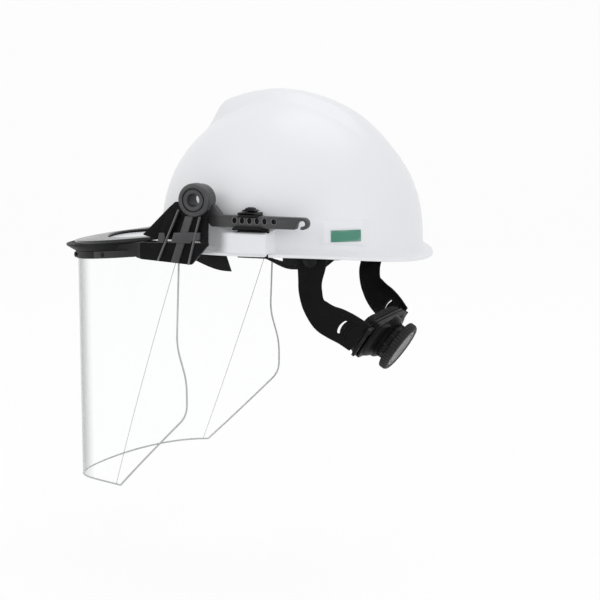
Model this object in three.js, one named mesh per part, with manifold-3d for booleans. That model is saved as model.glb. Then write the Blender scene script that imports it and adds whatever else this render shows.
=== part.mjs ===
// Hard hat with a tilting face shield on slide-in side arms, and a four point ratchet suspension.
// Millimetres. +X is the wearer's left, -Y the front, +Z up. The origin is the middle of the shell's
// rim: Z = 0 is the rim's lower edge at the sides, X = 0 is the plane of symmetry.
import * as THREE from 'three';
import { mergeVertices } from 'three/addons/utils/BufferGeometryUtils.js';
import Module from 'manifold-3d';

const wasm = await Module();
wasm.setup();

// Clearances and overruns that every piece shares
const fitGap = 0.3;
const runGap = 0.6;
const cutOverrun = 1.5;
const weldGap = 0.0001;

// Shell: dome
const domeHalfWidth = 98;
const domeFrontReach = 103.2;
const domeRearReach = 113.8;
const domeHeight = 122.5;
const shellWall = 2.2;
const domePlanPower = 2.1;
const domeSidePower = 2.518;
const domeTopPower = 1.567;

// Shell: rounded ridge over the crown
const ridgeTopHalfWidth = 9;
const ridgeFootHalfWidth = 25;
const ridgeFrontRoom = 35.2;
const ridgeFrontLength = 24;
const ridgeLevelY = 0;
const ridgeRearRoom = 9.8;
const ridgeFadeLength = 54;
const ridgeFrontHeight = 11;
const ridgeHeight = 4.5;
const ridgeFrontY = ridgeFrontRoom - domeFrontReach;
const ridgeFullY = ridgeFrontY + ridgeFrontLength;
const ridgeEndY = domeRearReach - ridgeRearRoom;
const ridgeFadeY = ridgeEndY - ridgeFadeLength;

// Shell: rim and peak
const rimFlare = 8.5;
const rimFillet = 6;
const rimFilletShare = 0.28;
const rimRise = 7.5;
const rimEdge = 2.6;
const rimEdgeRound = 1.2;
const rimDipStartY = 20;
const rearRimDip = 8.5;
const rimDipPower = 2.6;
const peakCentreY = -45;
const peakInset = 4;
const peakHalfWidth = domeHalfWidth - peakInset;
const peakReach = 120;
const peakDrop = 6.5;
const peakCrown = 4;
const rimBlendPower = 24;

// Shell: slotted pads that accessories plug into, and the plain raised panels behind them
const padProud = 10.5;
const padOuterX = domeHalfWidth + padProud;
const padFrontY = -4;
const padRearY = 31;
const padBottomZ = 2.5;
const padTopZ = 19.2;
const slotSkin = 3.8;
const slotWidth = 4;
const slotOuterX = padOuterX - slotSkin;
const slotInnerX = slotOuterX - slotWidth;
const slotFrontY = 0;
const slotRearY = 26;
const panelRise = 1.2;
const panelRearRoom = 23.8;
const panelLength = 28.5;
const panelEndY = domeRearReach - panelRearRoom;
const panelStartY = panelEndY - panelLength;
const panelBottomZ = 6.5;
const panelTopZ = 27.2;
const patchRearRoom = 1.6;
const patchLength = 19.1;
const patchEndY = panelEndY - patchRearRoom;
const patchStartY = patchEndY - patchLength;
const patchBottomZ = 11;
const patchTopZ = 20;
const patchThickness = 0.5;

// Suspension: pockets in the shell and the keys that plug into them
const keyAngleFront = -48;
const keyAngleRear = 48;
const pocketWidth = 26;
const pocketDepth = 6;
const pocketBottomZ = 1;
const pocketTopZ = 20;
const keyWidth = 18;
const keyBlade = 2.2;
const keyPlate = 2.4;
const keyBottomZ = -3.5;
const keyTopZ = 36;
const keyPegRadius = 2.4;
const keyPegZ = 8;
const keyPegReach = 3.2;

// Suspension: crown straps
const strapWidth = 19;
const strapThickness = 1.4;
const strapStartZ = 24.5;
const strapTopZ = 92;
const strapBowPower = 1.15;

// Suspension: headband and brow pad
const bandCentreY = 4;
const bandSideRoom = 18;
const bandFrontRoom = 11.2;
const bandRearRoom = 15.8;
const bandHalfWidth = domeHalfWidth - bandSideRoom;
const bandFrontReach = domeFrontReach + bandCentreY - bandFrontRoom;
const bandRearReach = domeRearReach - bandCentreY - bandRearRoom;
const bandPlanPower = 2.3;
const bandThickness = 1.8;
const bandTopZ = 23;
const bandBottomZ = -3;
const bandEarZ = -12;
const bandEarKeyRoom = 30.29;
const bandEarLength = 22;
const bandEarFlank = 32;
const windowFrontY = -15;
const windowRearY = 28;
const windowTopZ = 13;
const windowBorder = 3.2;
const browPadThickness = 6;
const browPadEndY = -22;
const browPadDropY = -68;
const browPadCrown = 0.6;
const browPadTopZ = 20;
const browPadFrontZ = -8;
const browPadEndZ = -16;

// Nape assembly: arms from the headband's ears round to the ratchet
const napeStudShift = 4;
const napeStudZ = -3;
const napeStudRadius = 3;
const napeStudHeadRadius = 6;
const napeStudTailRadius = 4.8;
const armTopZ = 6;
const armBandRoom = 6.5;
const armEndRoom = 8;
const armEndRise = 2.5;
const armEndBack = -3.1;
const armWidthTop = 24;
const armWidthWaist = 19.4;
const armWidthEnd = 27.5;
const armThickness = 2.4;
const armToeInAngle = 11;
const armSlotLength = 13;
const armSlotWidth = 2.6;
const armSlotShare = 0.6;

// Nape assembly: ratchet, in its own frame (x to the wearer's right, y up, z rearwards)
const ratchetRearRoom = 30.8;
const ratchetY = domeRearReach - ratchetRearRoom;
const ratchetZ = -71.5;
const ratchetLeanAngle = 34;
const housingHalfWidth = 42;
const armEndX = housingHalfWidth + armEndRoom;
const housingHalfHeight = 17;
const housingFront = 7;
const housingCorner = 9.4;
const channelHalfHeight = 13.8;
const channelFront = 1.5;
const channelBack = -1.6;
const backPlateBack = -4.4;
const napePadBack = -12.5;
const napePadInset = 1.5;
const napePadOverhang = 1.5;
const napePadDroopShare = 0.5;
const napePadRowShares = [-1, -0.6, 0, 0.6, 1];
const napePadColumnShares = [-1, -0.8, -0.4, 0, 0.4, 0.8, 1];
const rackFront = 1.1;
const rackBack = -1.3;
const toothModule = 1.5;
const toothAddendumShare = 0.9;
const toothDedendumShare = 1.1;
const toothPressureAngle = 20;
const pinionToothCount = 8;
const rackTravel = 10;
const rackTop = 13.2;
const rackEndHeight = 26;
const shaftRadius = 3;
const shaftEnd = 17;
const knobNeckRadius = 16.5;
const knobRadius = 22;
const knobBottom = 9.3;
const knobNeckTop = 14.5;
const knobTop = 22;
const knobLobeCount = 24;
const knobLobeDepth = 0.8;
const knobRecessRadius = 17.5;
const knobRecessDepth = 3;
const knobCapThickness = 2.2;
const clickSpringInner = 6;
const clickSpringOuter = 12.5;
const clickSpringThickness = 1.2;

// Side arms, their adapters and latches
const armStandOff = 3.3;
const armDepth = 6.5;
const armInnerX = domeHalfWidth + armStandOff;
const armOuterX = armInnerX + armDepth;
const armBottomZ = 22.6;
const barTopZ = 31.8;
const barFrontY = -20;
const barRearY = 49.3;
const pivotY = -30.3;
const pivotZ = 43.4;
const eyeRadius = 12;
const eyeProud = 0.7;
const eyeOuterX = armOuterX + eyeProud;
const neckRise = 8;
const notchCount = 5;
const notchPitch = 6.2;
const notchFirstY = -0.4;
const notchHalfLength = 1.8;
const notchHalfHeight = 2.4;
const notchDepth = 2.2;
const notchZ = 28.1;
const armHoleY = 32.2;
const armHoleRadius = 2.1;
const grooveDepth = 2;
const grooveHalfHeight = 2;
const hookY = 55;
const hookZ = 27.2;
const hookRadius = 4.6;
const hookInnerRadius = 2.2;
const hookFromAngle = 125;
const hookToAngle = -115;
const adapterStandOff = 0.5;
const adapterInnerX = domeHalfWidth + adapterStandOff;
const adapterPlate = 2.4;
const adapterWall = 2;
const adapterLip = 2;
const adapterLipReach = 1.7;
const adapterFrontY = 3;
const adapterRearY = 22;
const wingFrontY = -1.8;
const wingRearY = 28.2;
const tongueBottomZ = -1;
const latchHalfWidth = 3.8;
const latchCentreY = 11.6;
const latchRise = 1.2;
const latchPadRearY = 16.4;
const latchPadFrontY = 6.8;
const latchKnobHalfWidth = 3.6;
const latchKnobRise = 2.6;
const latchPressGap = 0.9;
const latchInset = 0.8;
const latchOuterX = armOuterX - latchInset;
const latchLegBottomZ = 25.2;
const latchToothReach = 1.4;
const latchPinRadius = 0.8;

// Pivot of the shield frame on the side arms
const bushingRadius = 6.2;
const bushingBore = 4.4;
const bushingFlange = 8.5;
const bushingFlangeThickness = 2.2;
const washerThickness = 0.9;
const hubRadius = 13;
const hubProud = 11;
const hubOuterX = eyeOuterX + hubProud;
const hubCounterbore = 9.2;
const hubCounterboreDepth = 3;

// Shield frame: rail round the peak, side plates, brackets
const shieldCentreY = -50;
const shieldSideRoom = 1;
const shieldPeakRoom = 20.5;
const shieldHalfWidth = domeHalfWidth + shieldSideRoom;
const shieldReach = shieldCentreY - peakCentreY + peakReach + shieldPeakRoom;
const shieldThickness = 1.2;
const railWall = 2.4;
const railHeight = 12.5;
const railWaist = 1.1;
const railLedge = 6.2;
const railLevelY = -93;
const railLevelZ = 7;
const railSlopeShare = 0.125;
const railEndY = -46;
const lipReach = 7.6;
const lipReachSide = 0.8;
const lipRoot = 4.2;
const lipThickness = 1.6;
const lipDrop = 2.1;
const lipStartShare = 0.45;
const lipFullShare = 0.95;
const plateStandOff = 3.5;
const plateInnerX = eyeOuterX + plateStandOff;
const plateThickness = 3.4;
const plateFrontY = -78;
const plateFrontBottomZ = -4.3;
const plateToeY = -34;
const plateToeZ = -7;
const plateRearY = -20;
const plateRearTopZ = 10.2;
const shelfThickness = 3;
const shelfTopZ = 5;
const legThickness = 3;
const webThickness = 2.6;
const webFrontY = -75.7;
const webFrontZ = 15;
const webShoulderY = -53.8;
const webShoulderZ = 36;
const webDipY = -65.3;
const webDipZ = 12;
const webHeelY = -58.3;
const webSillZ = 17.8;
const webRearY = -20;
const webRearTopZ = 34.5;
const legTopY = -40.3;
const legFootY = -60.2;
const legFootZ = -4.2;
const legWidth = 1.6;
const middleLegTopY = -29.8;
const middleLegFootY = -44.5;
const middleLegFootZ = -5.2;
const middleLegWidth = 6.4;
const rearLegTopY = -22.2;
const rearLegFootY = -33.2;
const rearLegFootZ = -6;
const rearLegWidth = 1.8;

// Shield, its retainer strip, studs and the debris guard
const shieldTopZ = railLevelZ + railSlopeShare * (plateFrontY - railLevelY) - railHeight / 2;
const shieldFrontZ = -207.5;
const shieldCornerZ = -197;
const shieldEdgeTopY = -51.8;
const shieldEdgeKinkY = -54.8;
const shieldEdgeBulgeY = -46.5;
const shieldCornerY = -113;
const shieldKinkZ = -75;
const shieldBulgeZ = -103;
const shieldTurnZ = -131;
const shieldTurnRound = 6.4;
const shieldRowHeight = 35;
const retainerThickness = 0.8;
const retainerEndRoom = 6;
const retainerEndY = plateFrontY - retainerEndRoom;
const studCount = 5;
const studFirstShare = 0.19;
const studRadius = 1.4;
const studHead = 2.4;
const studTail = 2.2;
const studHeadThickness = 1.2;
const guardOverlap = 7;
const guardThickness = 1.6;
const guardRise = 1.1;
const guardEndY = -76;

// How finely round shapes are cut
const domeColumns = 56;
const domeRows = 12;
const innerRows = 8;
const brimRows = 2;
const bandColumns = 44;
const railColumns = 30;
const shieldColumns = 26;
const patchColumns = 4;
const patchRows = 2;
const padColumns = 24;
const strapSteps = 14;
const roundSides = 20;
const smallSides = 10;
const arcSegments = 7;
const toothSamples = 10;
const pinionRollCount = 40;
const pinionDepthCount = 50;
const halvingCount = 30;

// Finishes
const finishes = {
  shell: { color: 0xeff0f2, roughness: 0.32, metalness: 0 },
  frame: { color: 0x1d1e20, roughness: 0.42, metalness: 0 },
  webbing: { color: 0x141416, roughness: 0.9, metalness: 0 },
  foam: { color: 0x17171a, roughness: 0.95, metalness: 0 },
  shield: { color: 0xdfe8f2, roughness: 0.05, metalness: 0, transparent: true, opacity: 0.25 },
  rubber: { color: 0x111113, roughness: 0.8, metalness: 0 },
  steel: { color: 0xb9bcc0, roughness: 0.3, metalness: 1 },
  reflective: { color: 0x2f8f6b, roughness: 0.4, metalness: 0 },
};

const group = new THREE.Group();

// Small helpers
const lerp = THREE.MathUtils.lerp;
const radians = THREE.MathUtils.degToRad;
const vec = (x, y, z) => new THREE.Vector3(x, y, z);
const smooth = (share) => THREE.MathUtils.smoothstep(share, 0, 1);
const span = (value, from, to) => THREE.MathUtils.clamp((value - from) / (to - from), 0, 1);

function signedVolume(geometry) {
  const place = geometry.getAttribute('position');
  const index = geometry.getIndex();
  const [a, b, c] = [vec(0, 0, 0), vec(0, 0, 0), vec(0, 0, 0)];
  let total = 0;
  for (let i = 0; i < index.count; i += 3) {
    a.fromBufferAttribute(place, index.getX(i));
    b.fromBufferAttribute(place, index.getX(i + 1));
    c.fromBufferAttribute(place, index.getX(i + 2));
    total += a.dot(b.cross(c));
  }
  return total;
}

function turned(geometry) {
  const index = geometry.getIndex();
  for (let i = 0; i < index.count; i += 3) {
    const second = index.getX(i + 1);
    index.setX(i + 1, index.getX(i + 2));
    index.setX(i + 2, second);
  }
  return geometry;
}

function closedGeometry(points, faces) {
  const geometry = new THREE.BufferGeometry();
  const places = points.flatMap((point) => [point.x, point.y, point.z]);
  geometry.setAttribute('position', new THREE.Float32BufferAttribute(places, 3));
  geometry.setIndex(faces);
  return signedVolume(geometry) < 0 ? turned(geometry) : geometry;
}

function welded(geometry) {
  const bare = geometry.clone();
  bare.deleteAttribute('normal');
  bare.deleteAttribute('uv');
  return mergeVertices(bare, weldGap);
}

function solidOf(geometry) {
  const bare = welded(geometry);
  return new wasm.Manifold(new wasm.Mesh({
    numProp: 3,
    vertProperties: Float32Array.from(bare.getAttribute('position').array),
    triVerts: Uint32Array.from(bare.getIndex().array),
  }));
}

function geometryOf(solid) {
  const mesh = solid.getMesh();
  const geometry = new THREE.BufferGeometry();
  geometry.setAttribute('position', new THREE.Float32BufferAttribute(mesh.vertProperties, 3));
  geometry.setIndex(new THREE.Uint32BufferAttribute(mesh.triVerts, 1));
  return geometry;
}

function joined(...geometries) {
  return geometryOf(geometries.map(solidOf).reduce((whole, piece) => whole.add(piece)));
}

function cut(geometry, ...tools) {
  return geometryOf(tools.map(solidOf).reduce((whole, tool) => whole.subtract(tool), solidOf(geometry)));
}

function common(geometry, other) {
  return geometryOf(solidOf(geometry).intersect(solidOf(other)));
}

function mirrored(geometry) {
  return turned(welded(geometry).applyMatrix4(new THREE.Matrix4().makeScale(-1, 1, 1)));
}

// A box between two corners, and a round bar along an axis
function block(x0, x1, y0, y1, z0, z1) {
  const box = new THREE.BoxGeometry(Math.abs(x1 - x0), Math.abs(y1 - y0), Math.abs(z1 - z0));
  return box.translate((x0 + x1) / 2, (y0 + y1) / 2, (z0 + z1) / 2);
}

function barX(radius, x0, x1, y, z, sides = roundSides) {
  const bar = new THREE.CylinderGeometry(radius, radius, Math.abs(x1 - x0), sides);
  return bar.rotateZ(Math.PI / 2).translate((x0 + x1) / 2, y, z);
}

function barZ(radius, z0, z1, sides = roundSides) {
  const bar = new THREE.CylinderGeometry(radius, radius, Math.abs(z1 - z0), sides);
  return bar.rotateX(Math.PI / 2).translate(0, 0, (z0 + z1) / 2);
}

function shapeOf(outline) {
  if (outline instanceof THREE.Shape) {
    return outline;
  }
  return new THREE.Shape(outline.map(([across, up]) => new THREE.Vector2(across, up)));
}

// A side view outline in Y and Z, extruded along X, and an outline in x and y, extruded along z
function outlineX(outline, x0, x1) {
  const settings = { depth: Math.abs(x1 - x0), bevelEnabled: false, curveSegments: arcSegments };
  const solid = new THREE.ExtrudeGeometry(shapeOf(outline), settings);
  const turn = new THREE.Matrix4().makeBasis(vec(0, 1, 0), vec(0, 0, 1), vec(1, 0, 0));
  return welded(solid.applyMatrix4(turn).translate(Math.min(x0, x1), 0, 0));
}

function outlineZ(outline, z0, z1) {
  const settings = { depth: z1 - z0, bevelEnabled: false, curveSegments: arcSegments };
  const solid = new THREE.ExtrudeGeometry(shapeOf(outline), settings);
  return welded(solid.translate(0, 0, z0));
}

// A closed body between two matching grids of points
function sheetSolid(outer, inner) {
  const rows = outer.length;
  const columns = outer[0].length;
  const points = [...outer.flat(), ...inner.flat()];
  const faces = [];
  const top = (row, column) => row * columns + column;
  const low = (row, column) => rows * columns + row * columns + column;
  const quad = (a, b, c, d) => faces.push(a, b, c, a, c, d);
  for (let row = 0; row < rows - 1; row += 1) {
    for (let column = 0; column < columns - 1; column += 1) {
      quad(top(row, column), top(row, column + 1), top(row + 1, column + 1), top(row + 1, column));
      quad(low(row, column), low(row + 1, column), low(row + 1, column + 1), low(row, column + 1));
    }
  }
  for (let column = 0; column < columns - 1; column += 1) {
    quad(top(0, column), low(0, column), low(0, column + 1), top(0, column + 1));
    quad(top(rows - 1, column), top(rows - 1, column + 1), low(rows - 1, column + 1), low(rows - 1, column));
  }
  for (let row = 0; row < rows - 1; row += 1) {
    quad(top(row, 0), top(row + 1, 0), low(row + 1, 0), low(row, 0));
    quad(top(row, columns - 1), low(row, columns - 1), low(row + 1, columns - 1), top(row + 1, columns - 1));
  }
  return closedGeometry(points, faces);
}

// A closed body through a row of matching rings, either a loop or capped at both ends
function loft(rings, isLoop = false) {
  const count = rings[0].length;
  const points = rings.flat();
  const faces = [];
  const last = isLoop ? rings.length : rings.length - 1;
  for (let ring = 0; ring < last; ring += 1) {
    const next = (ring + 1) % rings.length;
    for (let i = 0; i < count; i += 1) {
      const j = (i + 1) % count;
      const [a, b] = [ring * count + i, ring * count + j];
      const [c, d] = [next * count + j, next * count + i];
      faces.push(a, b, c, a, c, d);
    }
  }
  if (!isLoop) {
    const start = capFaces(rings[0]);
    const end = capFaces(rings.at(-1));
    const shift = (rings.length - 1) * count;
    start.forEach(([a, b, c]) => faces.push(a, c, b));
    end.forEach(([a, b, c]) => faces.push(shift + a, shift + b, shift + c));
  }
  return closedGeometry(points, faces);
}

function capFaces(ring) {
  const middle = ring.reduce((sum, point) => sum.add(point), vec(0, 0, 0)).divideScalar(ring.length);
  const normal = vec(0, 0, 0);
  ring.forEach((point, i) => {
    const next = ring[(i + 1) % ring.length];
    normal.add(point.clone().sub(middle).cross(next.clone().sub(middle)));
  });
  normal.normalize();
  const across = ring[1].clone().sub(ring[0]).normalize();
  const along = normal.clone().cross(across);
  const flat = ring.map((point) => {
    const away = point.clone().sub(middle);
    return new THREE.Vector2(away.dot(across), away.dot(along));
  });
  return THREE.ShapeUtils.triangulateShape(flat, []);
}

// A closed body of columns round the Z axis that share their first and last point
function spun(columns) {
  const count = columns[0].length - 2;
  const points = [columns[0][0], ...columns.flatMap((column) => column.slice(1, -1)), columns[0].at(-1)];
  const faces = [];
  const end = points.length - 1;
  columns.forEach((_, i) => {
    const j = (i + 1) % columns.length;
    const here = (row) => 1 + i * count + row;
    const next = (row) => 1 + j * count + row;
    faces.push(0, here(0), next(0));
    for (let row = 0; row < count - 1; row += 1) {
      faces.push(here(row), here(row + 1), next(row + 1), here(row), next(row + 1), next(row));
    }
    faces.push(end, next(count - 1), here(count - 1));
  });
  return closedGeometry(points, faces);
}

function add(name, finish, geometry, parent = group) {
  const mesh = new THREE.Mesh(geometry, new THREE.MeshStandardMaterial(finishes[finish]));
  mesh.name = name;
  parent.add(mesh);
  return mesh;
}

// A piece for the wearer's left, and its mirror image for the right
function addPair(name, finish, geometry) {
  add(`${name}_left`, finish, geometry);
  add(`${name}_right`, finish, mirrored(geometry));
}

// Shell surfaces
function planRadius(angle, halfWidth, frontReach, rearReach, power) {
  const across = Math.abs(Math.cos(angle)) / halfWidth;
  const along = Math.abs(Math.sin(angle)) / (Math.sin(angle) < 0 ? frontReach : rearReach);
  return (across ** power + along ** power) ** (-1 / power);
}

function domeRadius(angle, inset = 0) {
  const reaches = [domeHalfWidth - inset, domeFrontReach - inset, domeRearReach - inset];
  return planRadius(angle, ...reaches, domePlanPower);
}

function peakRadius(angle) {
  const [across, along] = [Math.cos(angle), Math.sin(angle)];
  const square = (across / peakHalfWidth) ** 2 + (along / peakReach) ** 2;
  const middle = (-2 * along * peakCentreY) / peakReach ** 2;
  const rest = (peakCentreY / peakReach) ** 2 - 1;
  return (-middle + Math.sqrt(middle ** 2 - 4 * square * rest)) / (2 * square);
}

function rimRadius(angle) {
  const flared = domeRadius(angle, -rimFlare);
  const peaked = Math.sin(angle) < 0 ? peakRadius(angle) : 0;
  return (flared ** rimBlendPower + peaked ** rimBlendPower) ** (1 / rimBlendPower);
}

function brimLevel(x, y) {
  const rear = span(y, rimDipStartY, domeRearReach + rimFlare);
  const front = span(y, peakCentreY, peakCentreY - peakReach);
  const crown = peakCrown * front * (1 - (x / peakHalfWidth) ** 2);
  return crown - rearRimDip * rear ** rimDipPower - peakDrop * front;
}

function ridgeAt(x, y) {
  const across = 1 - smooth(span(Math.abs(x), ridgeTopHalfWidth, ridgeFootHalfWidth));
  const rise = smooth(span(y, ridgeFrontY, ridgeFullY));
  const fade = 1 - smooth(span(y, ridgeFadeY, ridgeEndY));
  const height = lerp(ridgeFrontHeight, ridgeHeight, span(y, ridgeFullY, ridgeLevelY));
  return across * rise * fade * height;
}

function domePoint(angle, heightShare, inset = 0) {
  const width = (1 - heightShare ** domeSidePower) ** (1 / domeTopPower);
  const radius = domeRadius(angle, inset) * width;
  const height = (domeHeight - inset) * heightShare;
  const point = vec(radius * Math.cos(angle), radius * Math.sin(angle), height);
  const normal = vec(point.x / domeHalfWidth ** 2, point.y / domeRearReach ** 2, point.z / domeHeight ** 2);
  return point.addScaledVector(normal.normalize(), ridgeAt(point.x, point.y));
}

function brimPoint(angle, radius, lift) {
  const [x, y] = [radius * Math.cos(angle), radius * Math.sin(angle)];
  return vec(x, y, brimLevel(x, y) + lift);
}

function outerColumn(angle) {
  const base = domeRadius(angle);
  const tip = rimRadius(angle);
  const foot = brimPoint(angle, base, rimEdge + rimRise);
  const footShare = Math.max(foot.z, 0) / domeHeight;
  const points = [];
  for (let row = 0; row < domeRows; row += 1) {
    const turn = (row / domeRows) * Math.acos(footShare);
    points.push(domePoint(angle, Math.cos(turn)));
  }
  points.push(foot, brimPoint(angle, base + rimFillet * rimFilletShare, rimEdge + rimRise * rimFilletShare));
  for (let row = 0; row <= brimRows; row += 1) {
    points.push(brimPoint(angle, lerp(base + rimFillet, tip - rimEdgeRound, row / brimRows), rimEdge));
  }
  points.push(brimPoint(angle, tip, rimEdge / 2));
  for (let row = 0; row <= brimRows; row += 1) {
    points.push(brimPoint(angle, lerp(tip - rimEdgeRound, base - shellWall - cutOverrun, row / brimRows), 0));
  }
  points.push(vec(0, 0, 0));
  return points;
}

function innerColumn(angle) {
  const points = [];
  for (let row = 0; row <= innerRows; row += 1) {
    points.push(domePoint(angle, Math.cos((row / innerRows) * (Math.PI / 2)), shellWall));
  }
  const foot = points.at(-1);
  points.push(vec(foot.x, foot.y, -rearRimDip - cutOverrun), vec(0, 0, -rearRimDip - cutOverrun));
  return points;
}

function columnsRound(column, count) {
  return Array.from({ length: count }, (_, i) => column((i / count) * Math.PI * 2));
}

// A patch that follows the dome at the wearer's left, between two depths from its surface
function domePatch(startY, endY, lowZ, highZ, inset, outset) {
  const grid = (depth) => Array.from({ length: patchRows + 1 }, (_, row) => (
    Array.from({ length: patchColumns + 1 }, (__, column) => {
      const y = lerp(startY, endY, column / patchColumns);
      const z = lerp(lowZ, highZ, row / patchRows);
      const angle = Math.atan2(y, domeHalfWidth * Math.sqrt(1 - (y / domeRearReach) ** 2));
      return domePoint(angle, z / domeHeight, -depth);
    })
  ));
  return sheetSolid(grid(outset), grid(-inset));
}

// Where a ray from the Z axis meets the shell's inner wall, and the way the wall faces there
function wallPlace(angle) {
  const radius = domeRadius(angle, shellWall);
  const [x, y] = [radius * Math.cos(angle), radius * Math.sin(angle)];
  const reach = y < 0 ? domeFrontReach : domeRearReach;
  const slopeX = (Math.sign(x) * Math.abs(x / domeHalfWidth) ** (domePlanPower - 1)) / domeHalfWidth;
  const slopeY = (Math.sign(y) * Math.abs(y / reach) ** (domePlanPower - 1)) / reach;
  return { x, y, turn: Math.atan2(slopeY, slopeX) };
}

// Moves a body made along +X, with x = 0 at the shell's inner wall, to its place on that wall
function docked(geometry, angle) {
  const { x, y, turn } = wallPlace(angle);
  return geometry.rotateZ(turn).translate(x, y, 0);
}

function dockedBlock(angle, x0, x1, halfWidth, z0, z1) {
  return docked(block(x0, x1, -halfWidth, halfWidth, z0, z1), angle);
}

const keyAngles = {
  front_left: radians(keyAngleFront),
  front_right: Math.PI - radians(keyAngleFront),
  rear_left: radians(keyAngleRear),
  rear_right: Math.PI - radians(keyAngleRear),
};

// The headband's ears, and the nape studs on them, keep clear of the rear keys
const bandEarY = wallPlace(keyAngles.rear_left).y - bandEarKeyRoom;
const napeStudY = bandEarY + napeStudShift;

const slotMiddle = -pocketDepth / 2;

function makeShell() {
  const outer = spun(columnsRound(outerColumn, domeColumns));
  const inner = spun(columnsRound(innerColumn, domeColumns));
  const pads = block(domeHalfWidth - 2 * shellWall, padOuterX, padFrontY, padRearY, padBottomZ, padTopZ);
  const panel = domePatch(panelStartY, panelEndY, panelBottomZ, panelTopZ, shellWall / 2, panelRise);
  const grown = joined(outer, pads, mirrored(pads), panel, mirrored(panel));
  let shell = cut(grown, inner);
  Object.values(keyAngles).forEach((angle) => {
    const wall = [-pocketDepth, shellWall / 2];
    const pocket = dockedBlock(angle, ...wall, pocketWidth / 2, pocketBottomZ, pocketTopZ);
    const half = keyBlade / 2 + fitGap;
    const slot = dockedBlock(angle, slotMiddle - half, slotMiddle + half,
      keyWidth / 2 + fitGap, pocketBottomZ - cutOverrun, pocketTopZ + cutOverrun);
    shell = joined(shell, cut(common(pocket, outer), slot));
  });
  const [slotLowZ, slotHighZ] = [-rimEdge - cutOverrun, padTopZ + cutOverrun];
  const slot = block(slotInnerX, slotOuterX, slotFrontY, slotRearY, slotLowZ, slotHighZ);
  return cut(shell, slot, mirrored(slot));
}

function makePatch() {
  const low = panelRise + fitGap;
  return domePatch(patchStartY, patchEndY, patchBottomZ, patchTopZ, -low, low + patchThickness);
}

// Suspension
const keyPlateOuter = -pocketDepth - fitGap;
const keyPlateInner = keyPlateOuter - keyPlate;

function makeKey(angle) {
  const bladeTop = pocketTopZ - runGap;
  const [low, high] = [slotMiddle - keyBlade / 2, slotMiddle + keyBlade / 2];
  const blade = dockedBlock(angle, low, high, keyWidth / 2, keyBottomZ, bladeTop);
  const foot = dockedBlock(angle, keyPlateInner, high, keyWidth / 2, keyBottomZ, pocketBottomZ - fitGap);
  const plateHalf = keyWidth / 2 + keyBlade;
  const plate = dockedBlock(angle, keyPlateInner, keyPlateOuter, plateHalf, keyBottomZ, keyTopZ);
  return joined(blade, foot, plate, keyPeg(angle, keyPegRadius, keyPlateOuter));
}

// The peg on a key that the headband hangs from
function keyPeg(angle, radius, outer) {
  return docked(barX(radius, keyPlateInner - keyPegReach, outer, 0, keyPegZ, smallSides), angle);
}

function strapEnd(angle) {
  const { x, y, turn } = wallPlace(angle);
  const depth = keyPlateInner - fitGap - strapThickness / 2;
  const facing = vec(Math.cos(turn), Math.sin(turn), 0);
  return { place: vec(x, y, 0).addScaledVector(facing, depth), across: vec(-facing.y, facing.x, 0) };
}

function makeStrap(angle, opposite, lift) {
  const ends = [strapEnd(angle), strapEnd(opposite)];
  ends[1].across.negate();
  const stops = Array.from({ length: strapSteps + 1 }, (_, step) => {
    const share = (2 * step) / strapSteps;
    const turn = Math.min(share, 2 - share) * (Math.PI / 2);
    const inward = Math.cos(turn) ** (1 / strapBowPower);
    const point = ends[share <= 1 ? 0 : 1].place.clone().multiplyScalar(inward);
    const across = ends[0].across.clone().lerp(ends[1].across, share / 2).normalize();
    return { point: point.setZ(lerp(strapStartZ, strapTopZ - lift, Math.sin(turn))), across };
  });
  return loft(stops.map(({ point, across }, i) => {
    const [before, after] = [stops[i - 1] ?? stops[i], stops[i + 1] ?? stops[i]];
    const along = after.point.clone().sub(before.point).normalize();
    return flatRing(point, across, along.cross(across), strapWidth, strapThickness);
  }));
}

// The four corners of a strap's section
function flatRing(point, across, out, width, thickness) {
  const side = across.clone().normalize().multiplyScalar(width / 2);
  const face = out.clone().normalize().multiplyScalar(thickness / 2);
  return [
    point.clone().add(side).add(face), point.clone().sub(side).add(face),
    point.clone().sub(side).sub(face), point.clone().add(side).sub(face),
  ];
}

function bandPoint(angle, inset, z) {
  const reaches = [bandHalfWidth - inset, bandFrontReach - inset, bandRearReach - inset];
  const radius = planRadius(angle, ...reaches, bandPlanPower);
  return vec(radius * Math.cos(angle), bandCentreY + radius * Math.sin(angle), z);
}

// The angle at which the headband's left side reaches a given Y, found by halving
function bandAngle(y) {
  let [low, high] = [-Math.PI / 2, Math.PI / 2];
  for (let step = 0; step < halvingCount; step += 1) {
    const middle = (low + high) / 2;
    [low, high] = bandPoint(middle, 0, 0).y < y ? [middle, high] : [low, middle];
  }
  return low;
}

// The headband's lower edge hangs down in an ear on each side, where the nape arms pivot
function bandLowZ(y) {
  const ear = smooth(1 - span(Math.abs(y - bandEarY), bandEarLength / 2, bandEarLength / 2 + bandEarFlank));
  return lerp(bandBottomZ, bandEarZ, ear);
}

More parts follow.
